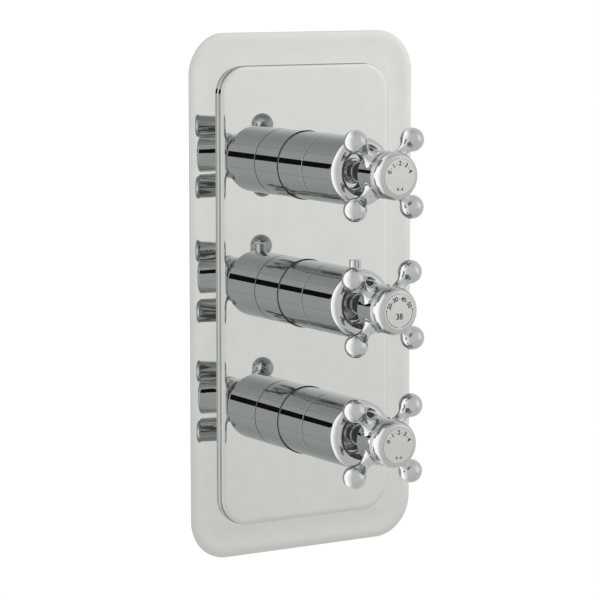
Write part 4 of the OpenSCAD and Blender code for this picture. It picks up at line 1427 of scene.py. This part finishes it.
@dataclass
class IndexDisc:
    """A flat index disc with plain marks filled with enamel."""

    control: Control
    edge: float = 0.2
    sunk: float = 0.05
    mark_proud: float = 0.02
    mark_depth: float = 0.06
    number_size: float = 3.5
    number_radius: float = 7.3
    boldness: float = 0.11
    dot: float = 0.3
    line_width: float = 0.32
    line_radius: float = 8.75
    line_steps: int = 40
    arrow: float = 1.2

    def numbers(self) -> list[Mark]:
        """Lists the marks in reading order.

        Returns:
            The marks of this control's disc.
        """
        if self.control is Control.THERMOSTAT:
            around = (("20", 152.0), ("30", 112.0), ("40", 68.0), ("50", 28.0))
            below = Mark("38", size=4.6, angle=270.0, radius=2.8)
            dots = (132.0, 90.0, 48.0)
        else:
            around = (("0", 158.0), ("1", 124.0), ("2", 90.0), ("3", 56.0), ("4", 22.0))
            below = Mark("0 - 4", size=2.1, angle=270.0, radius=7.0)
            dots = (141.0, 107.0, 73.0, 39.0)
        found = [Mark(text, self.number_size, angle, self.number_radius) for text, angle in around]
        found.append(below)
        return found + [Mark("", self.dot, angle, self.number_radius) for angle in dots]

    def letter_mesh(self, mark: Mark) -> bmesh.types.BMesh:
        """Makes a mark's solid, in millimetres and flat about its own centre.

        Args:
            mark: The mark.

        Returns:
            Its mesh.
        """
        bm = bmesh.new()
        if not mark.text:
            bmesh.ops.create_cone(bm, cap_ends=True, segments=20, radius1=mark.size, radius2=mark.size,
                                  depth=self.mark_depth)
            return bm
        curve = bpy.data.curves.new("digits", "FONT")
        curve.body = mark.text
        curve.size = mark.size
        curve.align_x = "CENTER"
        curve.align_y = "CENTER"
        curve.extrude = self.mark_depth / 2
        curve.offset = self.boldness
        curve.resolution_u = 4
        holder = bpy.data.objects.new("digits", curve)
        bpy.context.scene.collection.objects.link(holder)
        graph = bpy.context.evaluated_depsgraph_get()
        mesh = bpy.data.meshes.new_from_object(holder.evaluated_get(graph))
        bm.from_mesh(mesh)
        bpy.data.objects.remove(holder)
        bpy.data.curves.remove(curve)
        bpy.data.meshes.remove(mesh)
        bmesh.ops.remove_doubles(bm, verts=bm.verts, dist=1e-5)
        return bm

    def placed(self, mark: Mark) -> bmesh.types.BMesh:
        """Places a mark on the disc, upright under the centre and turned with the rim above it.

        Args:
            mark: The mark.

        Returns:
            Its mesh on the disc's own axis.
        """
        bm = self.letter_mesh(mark)
        angle = math.radians(mark.angle)
        turn = 0.0 if mark.upright else angle - math.pi / 2
        place = Matrix.Translation((mark.radius * math.cos(angle), mark.radius * math.sin(angle), 0))
        bmesh.ops.transform(bm, matrix=place @ Matrix.Rotation(turn, 4, "Z"), verts=bm.verts)
        return bm

    def sweep(self, start: float, end: float) -> bmesh.types.BMesh:
        """Makes the thin curved line near the rim, with an arrow at its start.

        Args:
            start: Angle in degrees where the arrow is.
            end: Angle in degrees where the line ends.

        Returns:
            Its mesh on the disc's own axis.
        """
        bm = bmesh.new()
        half, thick = self.line_width / 2, self.mark_depth / 2
        corners = [(self.line_radius - half, -thick), (self.line_radius + half, -thick),
                   (self.line_radius + half, thick), (self.line_radius - half, thick)]
        verts = [bm.verts.new((x, 0, z)) for x, z in corners]
        face = bm.faces.new(verts)
        bmesh.ops.rotate(bm, cent=(0, 0, 0), matrix=Matrix.Rotation(math.radians(start), 3, "Z"),
                         verts=bm.verts)
        bmesh.ops.spin(bm, geom=[face, *face.edges, *face.verts], cent=(0, 0, 0), axis=(0, 0, 1),
                       dvec=(0, 0, 0), angle=math.radians(end - start), steps=self.line_steps,
                       use_merge=False, use_duplicate=False)
        bmesh.ops.recalc_face_normals(bm, faces=bm.faces)
        tip = bmesh.new()
        bmesh.ops.create_cone(tip, cap_ends=True, segments=3, radius1=self.arrow / 2,
                              radius2=self.arrow / 2, depth=self.mark_depth)
        a = math.radians(start)
        place = Matrix.Translation((self.line_radius * math.cos(a), self.line_radius * math.sin(a), 0))
        way = Matrix.Rotation(a - math.pi / 2 if end > start else a + math.pi / 2, 4, "Z")
        point = Matrix.Rotation(-math.pi / 2, 4, "Z")
        bmesh.ops.transform(tip, matrix=place @ way @ point, verts=tip.verts)
        return joined([bm, tip])

    def build(self, finishes: FinishRack) -> None:
        """Builds and fits the disc.

        Args:
            finishes: The materials.
        """
        node = f"{self.control.value}_index_disc"
        radius = half_width(node)
        back, front = span(node)
        face = front - self.sunk
        section = eased([
            Corner(0, back), Corner(radius, back), Corner(radius, face, self.edge), Corner(0, face),
        ], closed=False)
        bm = at_control(turned(section, closed=False), self.control.height)
        disc = as_object(bm, f"{node}_chromed", finishes[Slot.INDEX])
        fit(disc, self.control.body, Slot.INDEX, node)
        pieces = [self.placed(mark) for mark in self.numbers()]
        if self.control is Control.THERMOSTAT:
            pieces += [self.sweep(172.0, 262.0), self.sweep(8.0, -82.0)]
        marks = joined(pieces)
        lift = face + self.mark_proud - self.mark_depth / 2
        bmesh.ops.translate(marks, vec=(0, 0, lift), verts=marks.verts)
        enamel = as_object(at_control(marks, self.control.height), f"{self.control.value}_dial_marks",
                           finishes.enamel)
        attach(enamel, self.control.body)
        log.info("%s: %d faces", enamel.name, len(enamel.data.polygons))


@dataclass
class CrossHead:
    """A cross-head: a beaded hub and four flared arms with ball ends."""

    control: Control
    hub: float = 13.3
    hub_length: float = 14.1
    back_edge: float = 1.0
    front_edge: float = 0.35
    bead: float = 0.7
    beads: int = 2
    bead_steps: int = 12
    cavity: float = 10.2
    web_back: float = 6.55
    web: float = 2.2
    spigot_bore: float = 5.1
    spigot_bore_depth: float = 2.1
    spline_bore: float = 4.1
    screw_bore: float = 2.1
    ball: float = 6.75
    reach: float = 26.6
    waist: float = 3.1
    waist_at: float = 18.0
    join_at: float = 21.8
    root: float = 6.4
    root_at: float = 12.3
    root_sunk: float = 10.6
    flare_power: float = 2.4
    arm_steps: int = 14
    ball_steps: int = 40
    turn_steps: int = 72
    turn: float = 45.0
    crease: float = 40.0

    def hub_mesh(self, back: float) -> bmesh.types.BMesh:
        """Turns the hub.

        Args:
            back: Depth of its back face.

        Returns:
            The hub's mesh, in millimetres on its own axis.
        """
        front = back + self.hub_length
        bead_centre = self.hub - self.bead
        section = eased([
            Corner(self.spigot_bore, back, 0.2), Corner(self.hub, back, self.back_edge),
            Corner(self.hub, front, self.front_edge), Corner(bead_centre, front, 0.1),
        ], closed=False)
        for row in range(self.beads):
            middle = Corner(bead_centre, front + (2 * row + 1) * self.bead)
            section += arc(middle, self.bead, self.bead, -90, 90, self.bead_steps)
        bead_front = front + 2 * self.beads * self.bead
        web_back = back + self.web_back
        section += eased([
            Corner(self.cavity, bead_front, 0.2), Corner(self.cavity, web_back + self.web),
            Corner(self.screw_bore, web_back + self.web), Corner(self.screw_bore, web_back),
            Corner(self.spline_bore, web_back), Corner(self.spline_bore, back + self.spigot_bore_depth),
            Corner(self.spigot_bore, back + self.spigot_bore_depth),
        ], closed=False)
        return turned(section)

    def arm_mesh(self) -> bmesh.types.BMesh:
        """Turns one arm with its ball about its own Z axis, which starts at the hub's centre.

        Returns:
            The arm's mesh in millimetres.
        """
        points = [Vector((0, 0, self.root_sunk)), Vector((self.root, 0, self.root_sunk))]
        for step in range(self.arm_steps + 1):
            share = 1 - step / self.arm_steps
            hollow = math.sqrt(max(0.0, 1 - share ** self.flare_power))
            flare = (self.root - self.waist) * (1 - hollow)
            points.append(Vector((self.waist + flare, 0,
                                  self.waist_at - (self.waist_at - self.root_at) * share)))
        join = math.sqrt(self.ball ** 2 - (self.reach - self.join_at) ** 2)
        for step in range(1, self.arm_steps + 1):
            share = step / self.arm_steps
            points.append(Vector((self.waist + (join - self.waist) * share ** 2, 0,
                                  self.waist_at + (self.join_at - self.waist_at) * share)))
        start = math.acos((self.reach - self.join_at) / self.ball)
        for step in range(1, self.ball_steps + 1):
            a = start + (math.pi - start) * step / self.ball_steps
            points.append(Vector((self.ball * math.sin(a) if step < self.ball_steps else 0.0, 0,
                                  self.reach - self.ball * math.cos(a))))
        return turned(points, closed=False, steps=self.turn_steps)

    def build(self, finishes: FinishRack) -> None:
        """Builds and fits the cross-head.

        Args:
            finishes: The materials.
        """
        node = f"{self.control.value}_cross_head"
        front = span(node)[1]
        back = front - 2 * self.beads * self.bead - self.hub_length
        middle = back + self.hub_length / 2
        bm = at_control(self.hub_mesh(back), self.control.height)
        head = as_object(bm, f"{node}_chromed", finishes[Slot.TURNED], crease=self.crease)
        arms = []
        for quarter in range(4):
            angle = math.radians(self.turn + self.control.extra_turn + 90 * quarter)
            out = Vector((math.cos(angle), math.sin(angle), 0))
            lean = Vector((0, 0, 1)).rotation_difference(out).to_matrix().to_4x4()
            arm = self.arm_mesh()
            bmesh.ops.transform(arm, matrix=Matrix.Translation((0, 0, middle)) @ lean, verts=arm.verts)
            arms.append(arm)
        cut(head, at_control(joined(arms), self.control.height), "UNION")
        sharpen(head, self.crease)
        fit(head, self.control.body, Slot.TURNED, node)


@dataclass
class Carried:
    """A solid whose shape is right: a merged copy with its own finish."""

    node: str
    slot: Slot
    crease: float = 30.0
    flatness: float = 0.5
    touching: float = 0.000001

    def build(self, finishes: FinishRack) -> bpy.types.Object:
        """Builds and fits the copy.

        Args:
            finishes: The materials.

        Returns:
            The new piece.
        """
        source = frame["nodes"][self.node]
        body = next(name for name, empty in frame["bodies"].items() if empty == source.parent)
        bm = bmesh.new()
        bm.from_mesh(source.data)
        bmesh.ops.remove_doubles(bm, verts=bm.verts, dist=self.touching)
        bmesh.ops.dissolve_limit(bm, angle_limit=math.radians(self.flatness), verts=bm.verts,
                                 edges=bm.edges)
        piece = as_object(bm, f"{self.node}_finished", finishes[self.slot], crease=self.crease)
        return fit(piece, body, self.slot, self.node)


@dataclass
class CastBody:
    """The cast valve body, whose tubes and lugs flow into each other with soft fillets."""

    voxel: float = 1.0
    smoothing: int = 5
    smoothing_share: float = 0.5
    crease: float = 60.0

    def build(self, finishes: FinishRack) -> None:
        """Builds and fits the body.

        Args:
            finishes: The materials.
        """
        piece = Carried("valve_body", Slot.CASTING, self.crease).build(finishes)
        remesh = piece.modifiers.new("remesh", "REMESH")
        remesh.mode = "VOXEL"
        remesh.voxel_size = self.voxel * MM
        keep(piece, remesh)
        smooth = piece.modifiers.new("smooth", "SMOOTH")
        smooth.factor = self.smoothing_share
        smooth.iterations = self.smoothing
        keep(piece, smooth)
        piece.data.shade_smooth()
        if not piece.data.materials:
            piece.data.materials.append(finishes[Slot.CASTING])
        log.info("%s: %d faces after smoothing", piece.name, len(piece.data.polygons))


@dataclass
class Threaded:
    """A brass union with the female thread cut into its bore."""

    node: str
    mouths: Sequence[Vector]
    crest: float
    length: float
    pitch: float = 1.814
    depth: float = 1.05
    flank: float = 0.4
    tip: float = 0.1
    overrun: float = 0.12
    steps: int = 48
    crease: float = 30.0

    def groove(self, mouth: Vector) -> bmesh.types.BMesh:
        """Sweeps the thread's groove out through one mouth.

        Args:
            mouth: Which way the union opens, as a unit vector.

        Returns:
            The groove's solid in the frame's metres.
        """
        bm = bmesh.new()
        low, half = self.crest - self.overrun, self.pitch * self.flank
        high = self.crest + self.depth
        corners = [(low, -half), (high, -self.tip), (high, self.tip), (low, half)]
        verts = [bm.verts.new((x, 0, z)) for x, z in corners]
        face = bm.faces.new(verts)
        turns = self.length / self.pitch
        count = round(turns * self.steps)
        bmesh.ops.spin(bm, geom=[face, *face.edges, *face.verts], cent=(0, 0, 0), axis=(0, 0, 1),
                       dvec=(0, 0, self.pitch / self.steps), angle=turns * math.tau, steps=count,
                       use_merge=False, use_duplicate=False)
        bmesh.ops.recalc_face_normals(bm, faces=bm.faces)
        lo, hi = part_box(self.node)
        end = (lo + hi) / 2
        axis = max(range(3), key=lambda i: abs(mouth[i]))
        end[axis] = hi[axis] if mouth[axis] > 0 else lo[axis]
        start = end - mouth * (self.length - 0.5 * self.pitch) * MM
        lean = Vector((0, 0, 1)).rotation_difference(mouth).to_matrix().to_4x4()
        place = Matrix.Translation(start) @ lean @ Matrix.Scale(MM, 4)
        bmesh.ops.transform(bm, matrix=place, verts=bm.verts)
        return bm

    def build(self, finishes: FinishRack) -> None:
        """Builds and fits the union.

        Args:
            finishes: The materials.
        """
        piece = Carried(self.node, Slot.BRASS).build(finishes)
        for mouth in self.mouths:
            cut(piece, self.groove(mouth))
        sharpen(piece, self.crease)


@dataclass(frozen=True)
class SoftBox:
    """A patch of light in the studio's surroundings, all angles in degrees.

    Attributes:
        azimuth: Way to its middle, from straight in front of the plate towards the right.
        elevation: Height of its middle above the horizon.
        half_width: Half its width where its side edges are at half strength.
        half_height: Half its height where its top and bottom edges are at half strength.
        side_edge: Half the width of its soft side edges.
        top_edge: Half the height of its soft top and bottom edges.
        strength: Light that it adds in its middle.
    """

    azimuth: float
    elevation: float
    half_width: float
    half_height: float
    side_edge: float
    top_edge: float
    strength: float

    def light(self, graph: Graph, azimuth: bpy.types.NodeSocket,
              elevation: bpy.types.NodeSocket) -> bpy.types.NodeSocket:
        """Works out how much of the patch shows in a direction.

        Args:
            graph: The world's graph.
            azimuth: The direction's azimuth.
            elevation: The direction's elevation.

        Returns:
            A share from 0 to 1.
        """
        turn = graph.math("SUBTRACT", azimuth, self.azimuth)
        side = graph.math("ABSOLUTE", graph.math("WRAP", turn, 180.0, -180.0))
        up = graph.math("ABSOLUTE", graph.math("SUBTRACT", elevation, self.elevation))
        across = graph.remap(side, self.half_width - self.side_edge,
                             self.half_width + self.side_edge, 1.0, 0.0)
        along = graph.remap(up, self.half_height - self.top_edge,
                            self.half_height + self.top_edge, 1.0, 0.0)
        return graph.math("MULTIPLY", across, along)


class Studio:
    """The camera, the soft surroundings, the dark card beside the camera and the pale floor."""

    CAMERA_PLACE = (-0.80912, -1.37046, 0.19438)
    CAMERA_TURN = 31.875
    CAMERA_PITCH = 7.406
    LENS = 158.055
    SENSOR_WIDTH = 36.0
    VIEW_END = 50.0
    FLOOR_HEIGHT = -0.75
    FLOOR_RADIUS = 1.6
    FLOOR_COLOUR: Colour = (0.62, 0.62, 0.615)
    CARD_FOOT = 0.14
    CARD_TOP = 0.395
    CARD_WIDTH = 0.5
    CARD_THICKNESS = 0.002
    CARD_COLOUR: Colour = (0.012, 0.012, 0.010)
    WHITE: Colour = (1.0, 1.0, 1.0)
    SECOND_TINT: Colour = (0.955, 1.0, 1.025)
    FIRST_MIRRORING = 1.5
    GROUND_LIGHT = 0.74
    HORIZON_LIGHT = 0.83
    CEILING_LIGHT = 0.70
    GROUND_RISE = (-60.0, -5.0)
    CEILING_RISE = (40.0, 85.0)
    STEEP_RISE = (16.0, 42.0)
    STEEP_LOSS = (0.12, 0.45)
    STEEP_BELOW = 0.82
    STRIPE_ROLLS = (52.0, -32.0)
    STRIPE_EDGE = (0.3, 1.6)
    STRIPE_LOSS = 0.22
    BOXES = (
        SoftBox(azimuth=-130.0, elevation=0.0, half_width=45.0, half_height=62.0,
                side_edge=38.0, top_edge=20.0, strength=0.87),
        SoftBox(azimuth=46.0, elevation=14.0, half_width=18.0, half_height=22.0,
                side_edge=19.0, top_edge=20.0, strength=0.42),
        SoftBox(azimuth=180.0, elevation=0.0, half_width=30.0, half_height=40.0,
                side_edge=12.0, top_edge=12.0, strength=0.3),
        SoftBox(azimuth=32.0, elevation=-19.0, half_width=24.0, half_height=9.0,
                side_edge=14.0, top_edge=8.0, strength=-0.08),
    )

    def camera(self) -> None:
        """Adds the camera at the photograph's viewing angle."""
        data = bpy.data.cameras.new("camera")
        data.lens = self.LENS
        data.sensor_width = self.SENSOR_WIDTH
        data.clip_end = self.VIEW_END
        camera = bpy.data.objects.new("camera", data)
        camera.location = self.CAMERA_PLACE
        camera.rotation_euler = (math.radians(90 - self.CAMERA_PITCH), 0,
                                 math.radians(-self.CAMERA_TURN))
        bpy.context.scene.collection.objects.link(camera)
        bpy.context.scene.camera = camera

    def glow(self, graph: Graph, azimuth: bpy.types.NodeSocket,
             elevation: bpy.types.NodeSocket) -> bpy.types.NodeSocket:
        """Adds the light that a mirror sees in each direction.

        Args:
            graph: The world's graph.
            azimuth: The direction's azimuth in degrees.
            elevation: The direction's elevation in degrees.

        Returns:
            The light, where 1 is white.
        """
        base = graph.remap(elevation, *self.GROUND_RISE, self.GROUND_LIGHT, self.HORIZON_LIGHT)
        total = graph.remap(elevation, *self.CEILING_RISE, base, self.CEILING_LIGHT)
        for box in self.BOXES:
            light = box.light(graph, azimuth, elevation)
            total = graph.math("MULTIPLY_ADD", light, box.strength, total)
        return total

    def shade(self, graph: Graph, elevation: bpy.types.NodeSocket,
              roll: bpy.types.NodeSocket) -> bpy.types.NodeSocket:
        """Adds what mirrors of mirrors lose: steep directions, and two thin stripes.

        Args:
            graph: The world's graph.
            elevation: The direction's elevation in degrees.
            roll: The direction's turn in degrees about the controls' axes.

        Returns:
            The share of light that is lost.
        """
        below = graph.math("MULTIPLY", elevation, -self.STEEP_BELOW)
        steep = graph.math("MAXIMUM", elevation, below)
        lost = graph.remap(steep, *self.STEEP_RISE, *self.STEEP_LOSS)
        for middle in self.STRIPE_ROLLS:
            away = graph.math("ABSOLUTE", graph.math("SUBTRACT", roll, middle))
            stripe = graph.remap(away, *self.STRIPE_EDGE, self.STRIPE_LOSS, 0.0)
            lost = graph.math("ADD", lost, stripe)
        return lost

    def surroundings(self) -> None:
        """Lights the world: white to the camera, soft boxes to mirrors, plain to the rest."""
        world = bpy.data.worlds.new("studio")
        bpy.context.scene.world = world
        world.use_nodes = True
        world.node_tree.nodes.clear()
        graph = Graph(world.node_tree)
        way = graph.add("ShaderNodeTexCoord").outputs["Generated"]
        parts = graph.add("ShaderNodeSeparateXYZ", {"Vector": way}).outputs
        to_degrees = math.degrees(1)
        ahead = graph.math("MULTIPLY", parts["Y"], -1.0)
        left = graph.math("MULTIPLY", parts["X"], -1.0)
        azimuth = graph.math("MULTIPLY", graph.math("ARCTAN2", parts["X"], ahead), to_degrees)
        elevation = graph.math("MULTIPLY", graph.math("ARCSINE", parts["Z"]), to_degrees)
        roll = graph.math("MULTIPLY", graph.math("ARCTAN2", parts["Z"], left), to_degrees)

        path = graph.add("ShaderNodeLightPath").outputs
        second = graph.math("GREATER_THAN", path["Glossy Depth"], self.FIRST_MIRRORING)
        lost = graph.math("MULTIPLY", self.shade(graph, elevation, roll), second)
        kept = graph.math("SUBTRACT", 1.0, lost)
        total = graph.math("MULTIPLY", self.glow(graph, azimuth, elevation), kept)
        mirrored = graph.math("MAXIMUM", path["Is Glossy Ray"], path["Is Transmission Ray"])
        lit = graph.math("MULTIPLY_ADD", graph.math("SUBTRACT", total, 1.0), mirrored, 1.0)
        to_white = graph.math("SUBTRACT", 1.0, lit)
        strength = graph.math("MULTIPLY_ADD", to_white, path["Is Camera Ray"], lit)
        tint = graph.blend(second, opaque(self.WHITE), opaque(self.SECOND_TINT))
        background = graph.add("ShaderNodeBackground", {"Color": tint, "Strength": strength})
        output = graph.add("ShaderNodeOutputWorld")
        graph.tree.links.new(background.outputs[0], output.inputs["Surface"])

    @staticmethod
    def stage_material(name: str) -> tuple[bpy.types.Material, Graph]:
        """Starts an empty material for a piece of the studio.

        Args:
            name: The material's name.

        Returns:
            The material and its graph.
        """
        material = bpy.data.materials.new(name)
        material.use_nodes = True
        material.node_tree.nodes.clear()
        return material, Graph(material.node_tree)

    @staticmethod
    def mix_to_output(graph: Graph, factor: bpy.types.NodeSocket, first: bpy.types.Node,
                      second: bpy.types.Node) -> None:
        """Mixes two shaders and joins them to the material's output.

        Args:
            graph: The material's graph.
            factor: Share of the second shader.
            first: First shader.
            second: Second shader.
        """
        mixed = graph.add("ShaderNodeMixShader", {0: factor, 1: first.outputs[0], 2: second.outputs[0]})
        output = graph.add("ShaderNodeOutputMaterial")
        graph.tree.links.new(mixed.outputs[0], output.inputs["Surface"])

    def dark_card(self) -> None:
        """Adds the dark card beside the camera, which only shows in mirrors of mirrors."""
        bm = bmesh.new()
        lens = Vector(self.CAMERA_PLACE)
        height = self.CARD_TOP - self.CARD_FOOT
        middle = Vector((lens.x, lens.y, self.CARD_FOOT + height / 2))
        place = Matrix.Translation(middle) @ Matrix.Rotation(math.radians(-self.CAMERA_TURN), 4, "Z")
        shape = Matrix.Diagonal((self.CARD_WIDTH, self.CARD_THICKNESS, height, 1))
        bmesh.ops.create_cube(bm, size=1.0, matrix=place @ shape)
        material, graph = self.stage_material("studio_card")
        depth = graph.add("ShaderNodeLightPath").outputs["Glossy Depth"]
        later = graph.math("GREATER_THAN", depth, self.FIRST_MIRRORING)
        clear = graph.add("ShaderNodeBsdfTransparent")
        dark = graph.add("ShaderNodeEmission", {"Color": opaque(self.CARD_COLOUR), "Strength": 1.0})
        self.mix_to_output(graph, later, clear, dark)
        card = as_object(bm, "dark_card", material)
        card.visible_camera = False
        card.visible_diffuse = False
        card.visible_shadow = False

    def floor(self) -> None:
        """Adds the pale floor, which keeps the object's shadow and is clear from below."""
        bm = bmesh.new()
        bmesh.ops.create_circle(bm, cap_ends=True, segments=96, radius=self.FLOOR_RADIUS,
                                matrix=Matrix.Translation((0, 0, self.FLOOR_HEIGHT)))
        material, graph = self.stage_material("studio_floor")
        seen = graph.add("ShaderNodeLightPath").outputs["Is Camera Ray"]
        colour = graph.blend(seen, opaque(self.FLOOR_COLOUR), opaque(self.WHITE))
        surface = graph.add("ShaderNodeBsdfDiffuse", {"Color": colour})
        clear = graph.add("ShaderNodeBsdfTransparent")
        below = graph.add("ShaderNodeNewGeometry").outputs["Backfacing"]
        self.mix_to_output(graph, below, surface, clear)
        floor = as_object(bm, "floor", material)
        floor.visible_glossy = False

    def build(self) -> None:
        """Builds the whole studio."""
        bpy.context.scene.view_settings.view_transform = "Standard"
        self.camera()
        self.surroundings()
        self.dark_card()
        self.floor()


def slots_of_nodes() -> dict[str, Slot]:
    """Reads which finish each solid has.

    Returns:
        The slot of each solid that no new piece stands for.
    """
    rows = frame["record"]["subparts"]
    return {row["node"]: Slot(row["material_slot"]) for row in rows
            if not frame["nodes"][row["node"]].hide_render}


def main() -> None:
    """Builds the pieces in order and reports each one."""
    logging.basicConfig(level=logging.INFO, format="%(message)s")
    finishes = FinishRack(EffectShelf())
    Faceplate().build(finishes)
    for control in Control:
        Sleeve(control).build(finishes)
        Barrel(control).build(finishes)
        CrossHead(control).build(finishes)
        Neck(control).build(finishes)
        Bezel(control).build(finishes)
        IndexDisc(control).build(finishes)
    SafetyButton().build(finishes)
    CastBody().build(finishes)
    left, down = Vector((-1, 0, 0)), Vector((0, 0, -1))
    Threaded("hot_inlet_union", [left], crest=12.06, length=10.5).build(finishes)
    Threaded("cold_inlet_union", [-left], crest=12.06, length=10.5).build(finishes)
    Threaded("outlet_unions", [down, -down], crest=9.32, length=14.0).build(finishes)
    for node, slot in slots_of_nodes().items():
        Carried(node, slot).build(finishes)
    Studio().build()


if __name__ == "__main__":
    main()
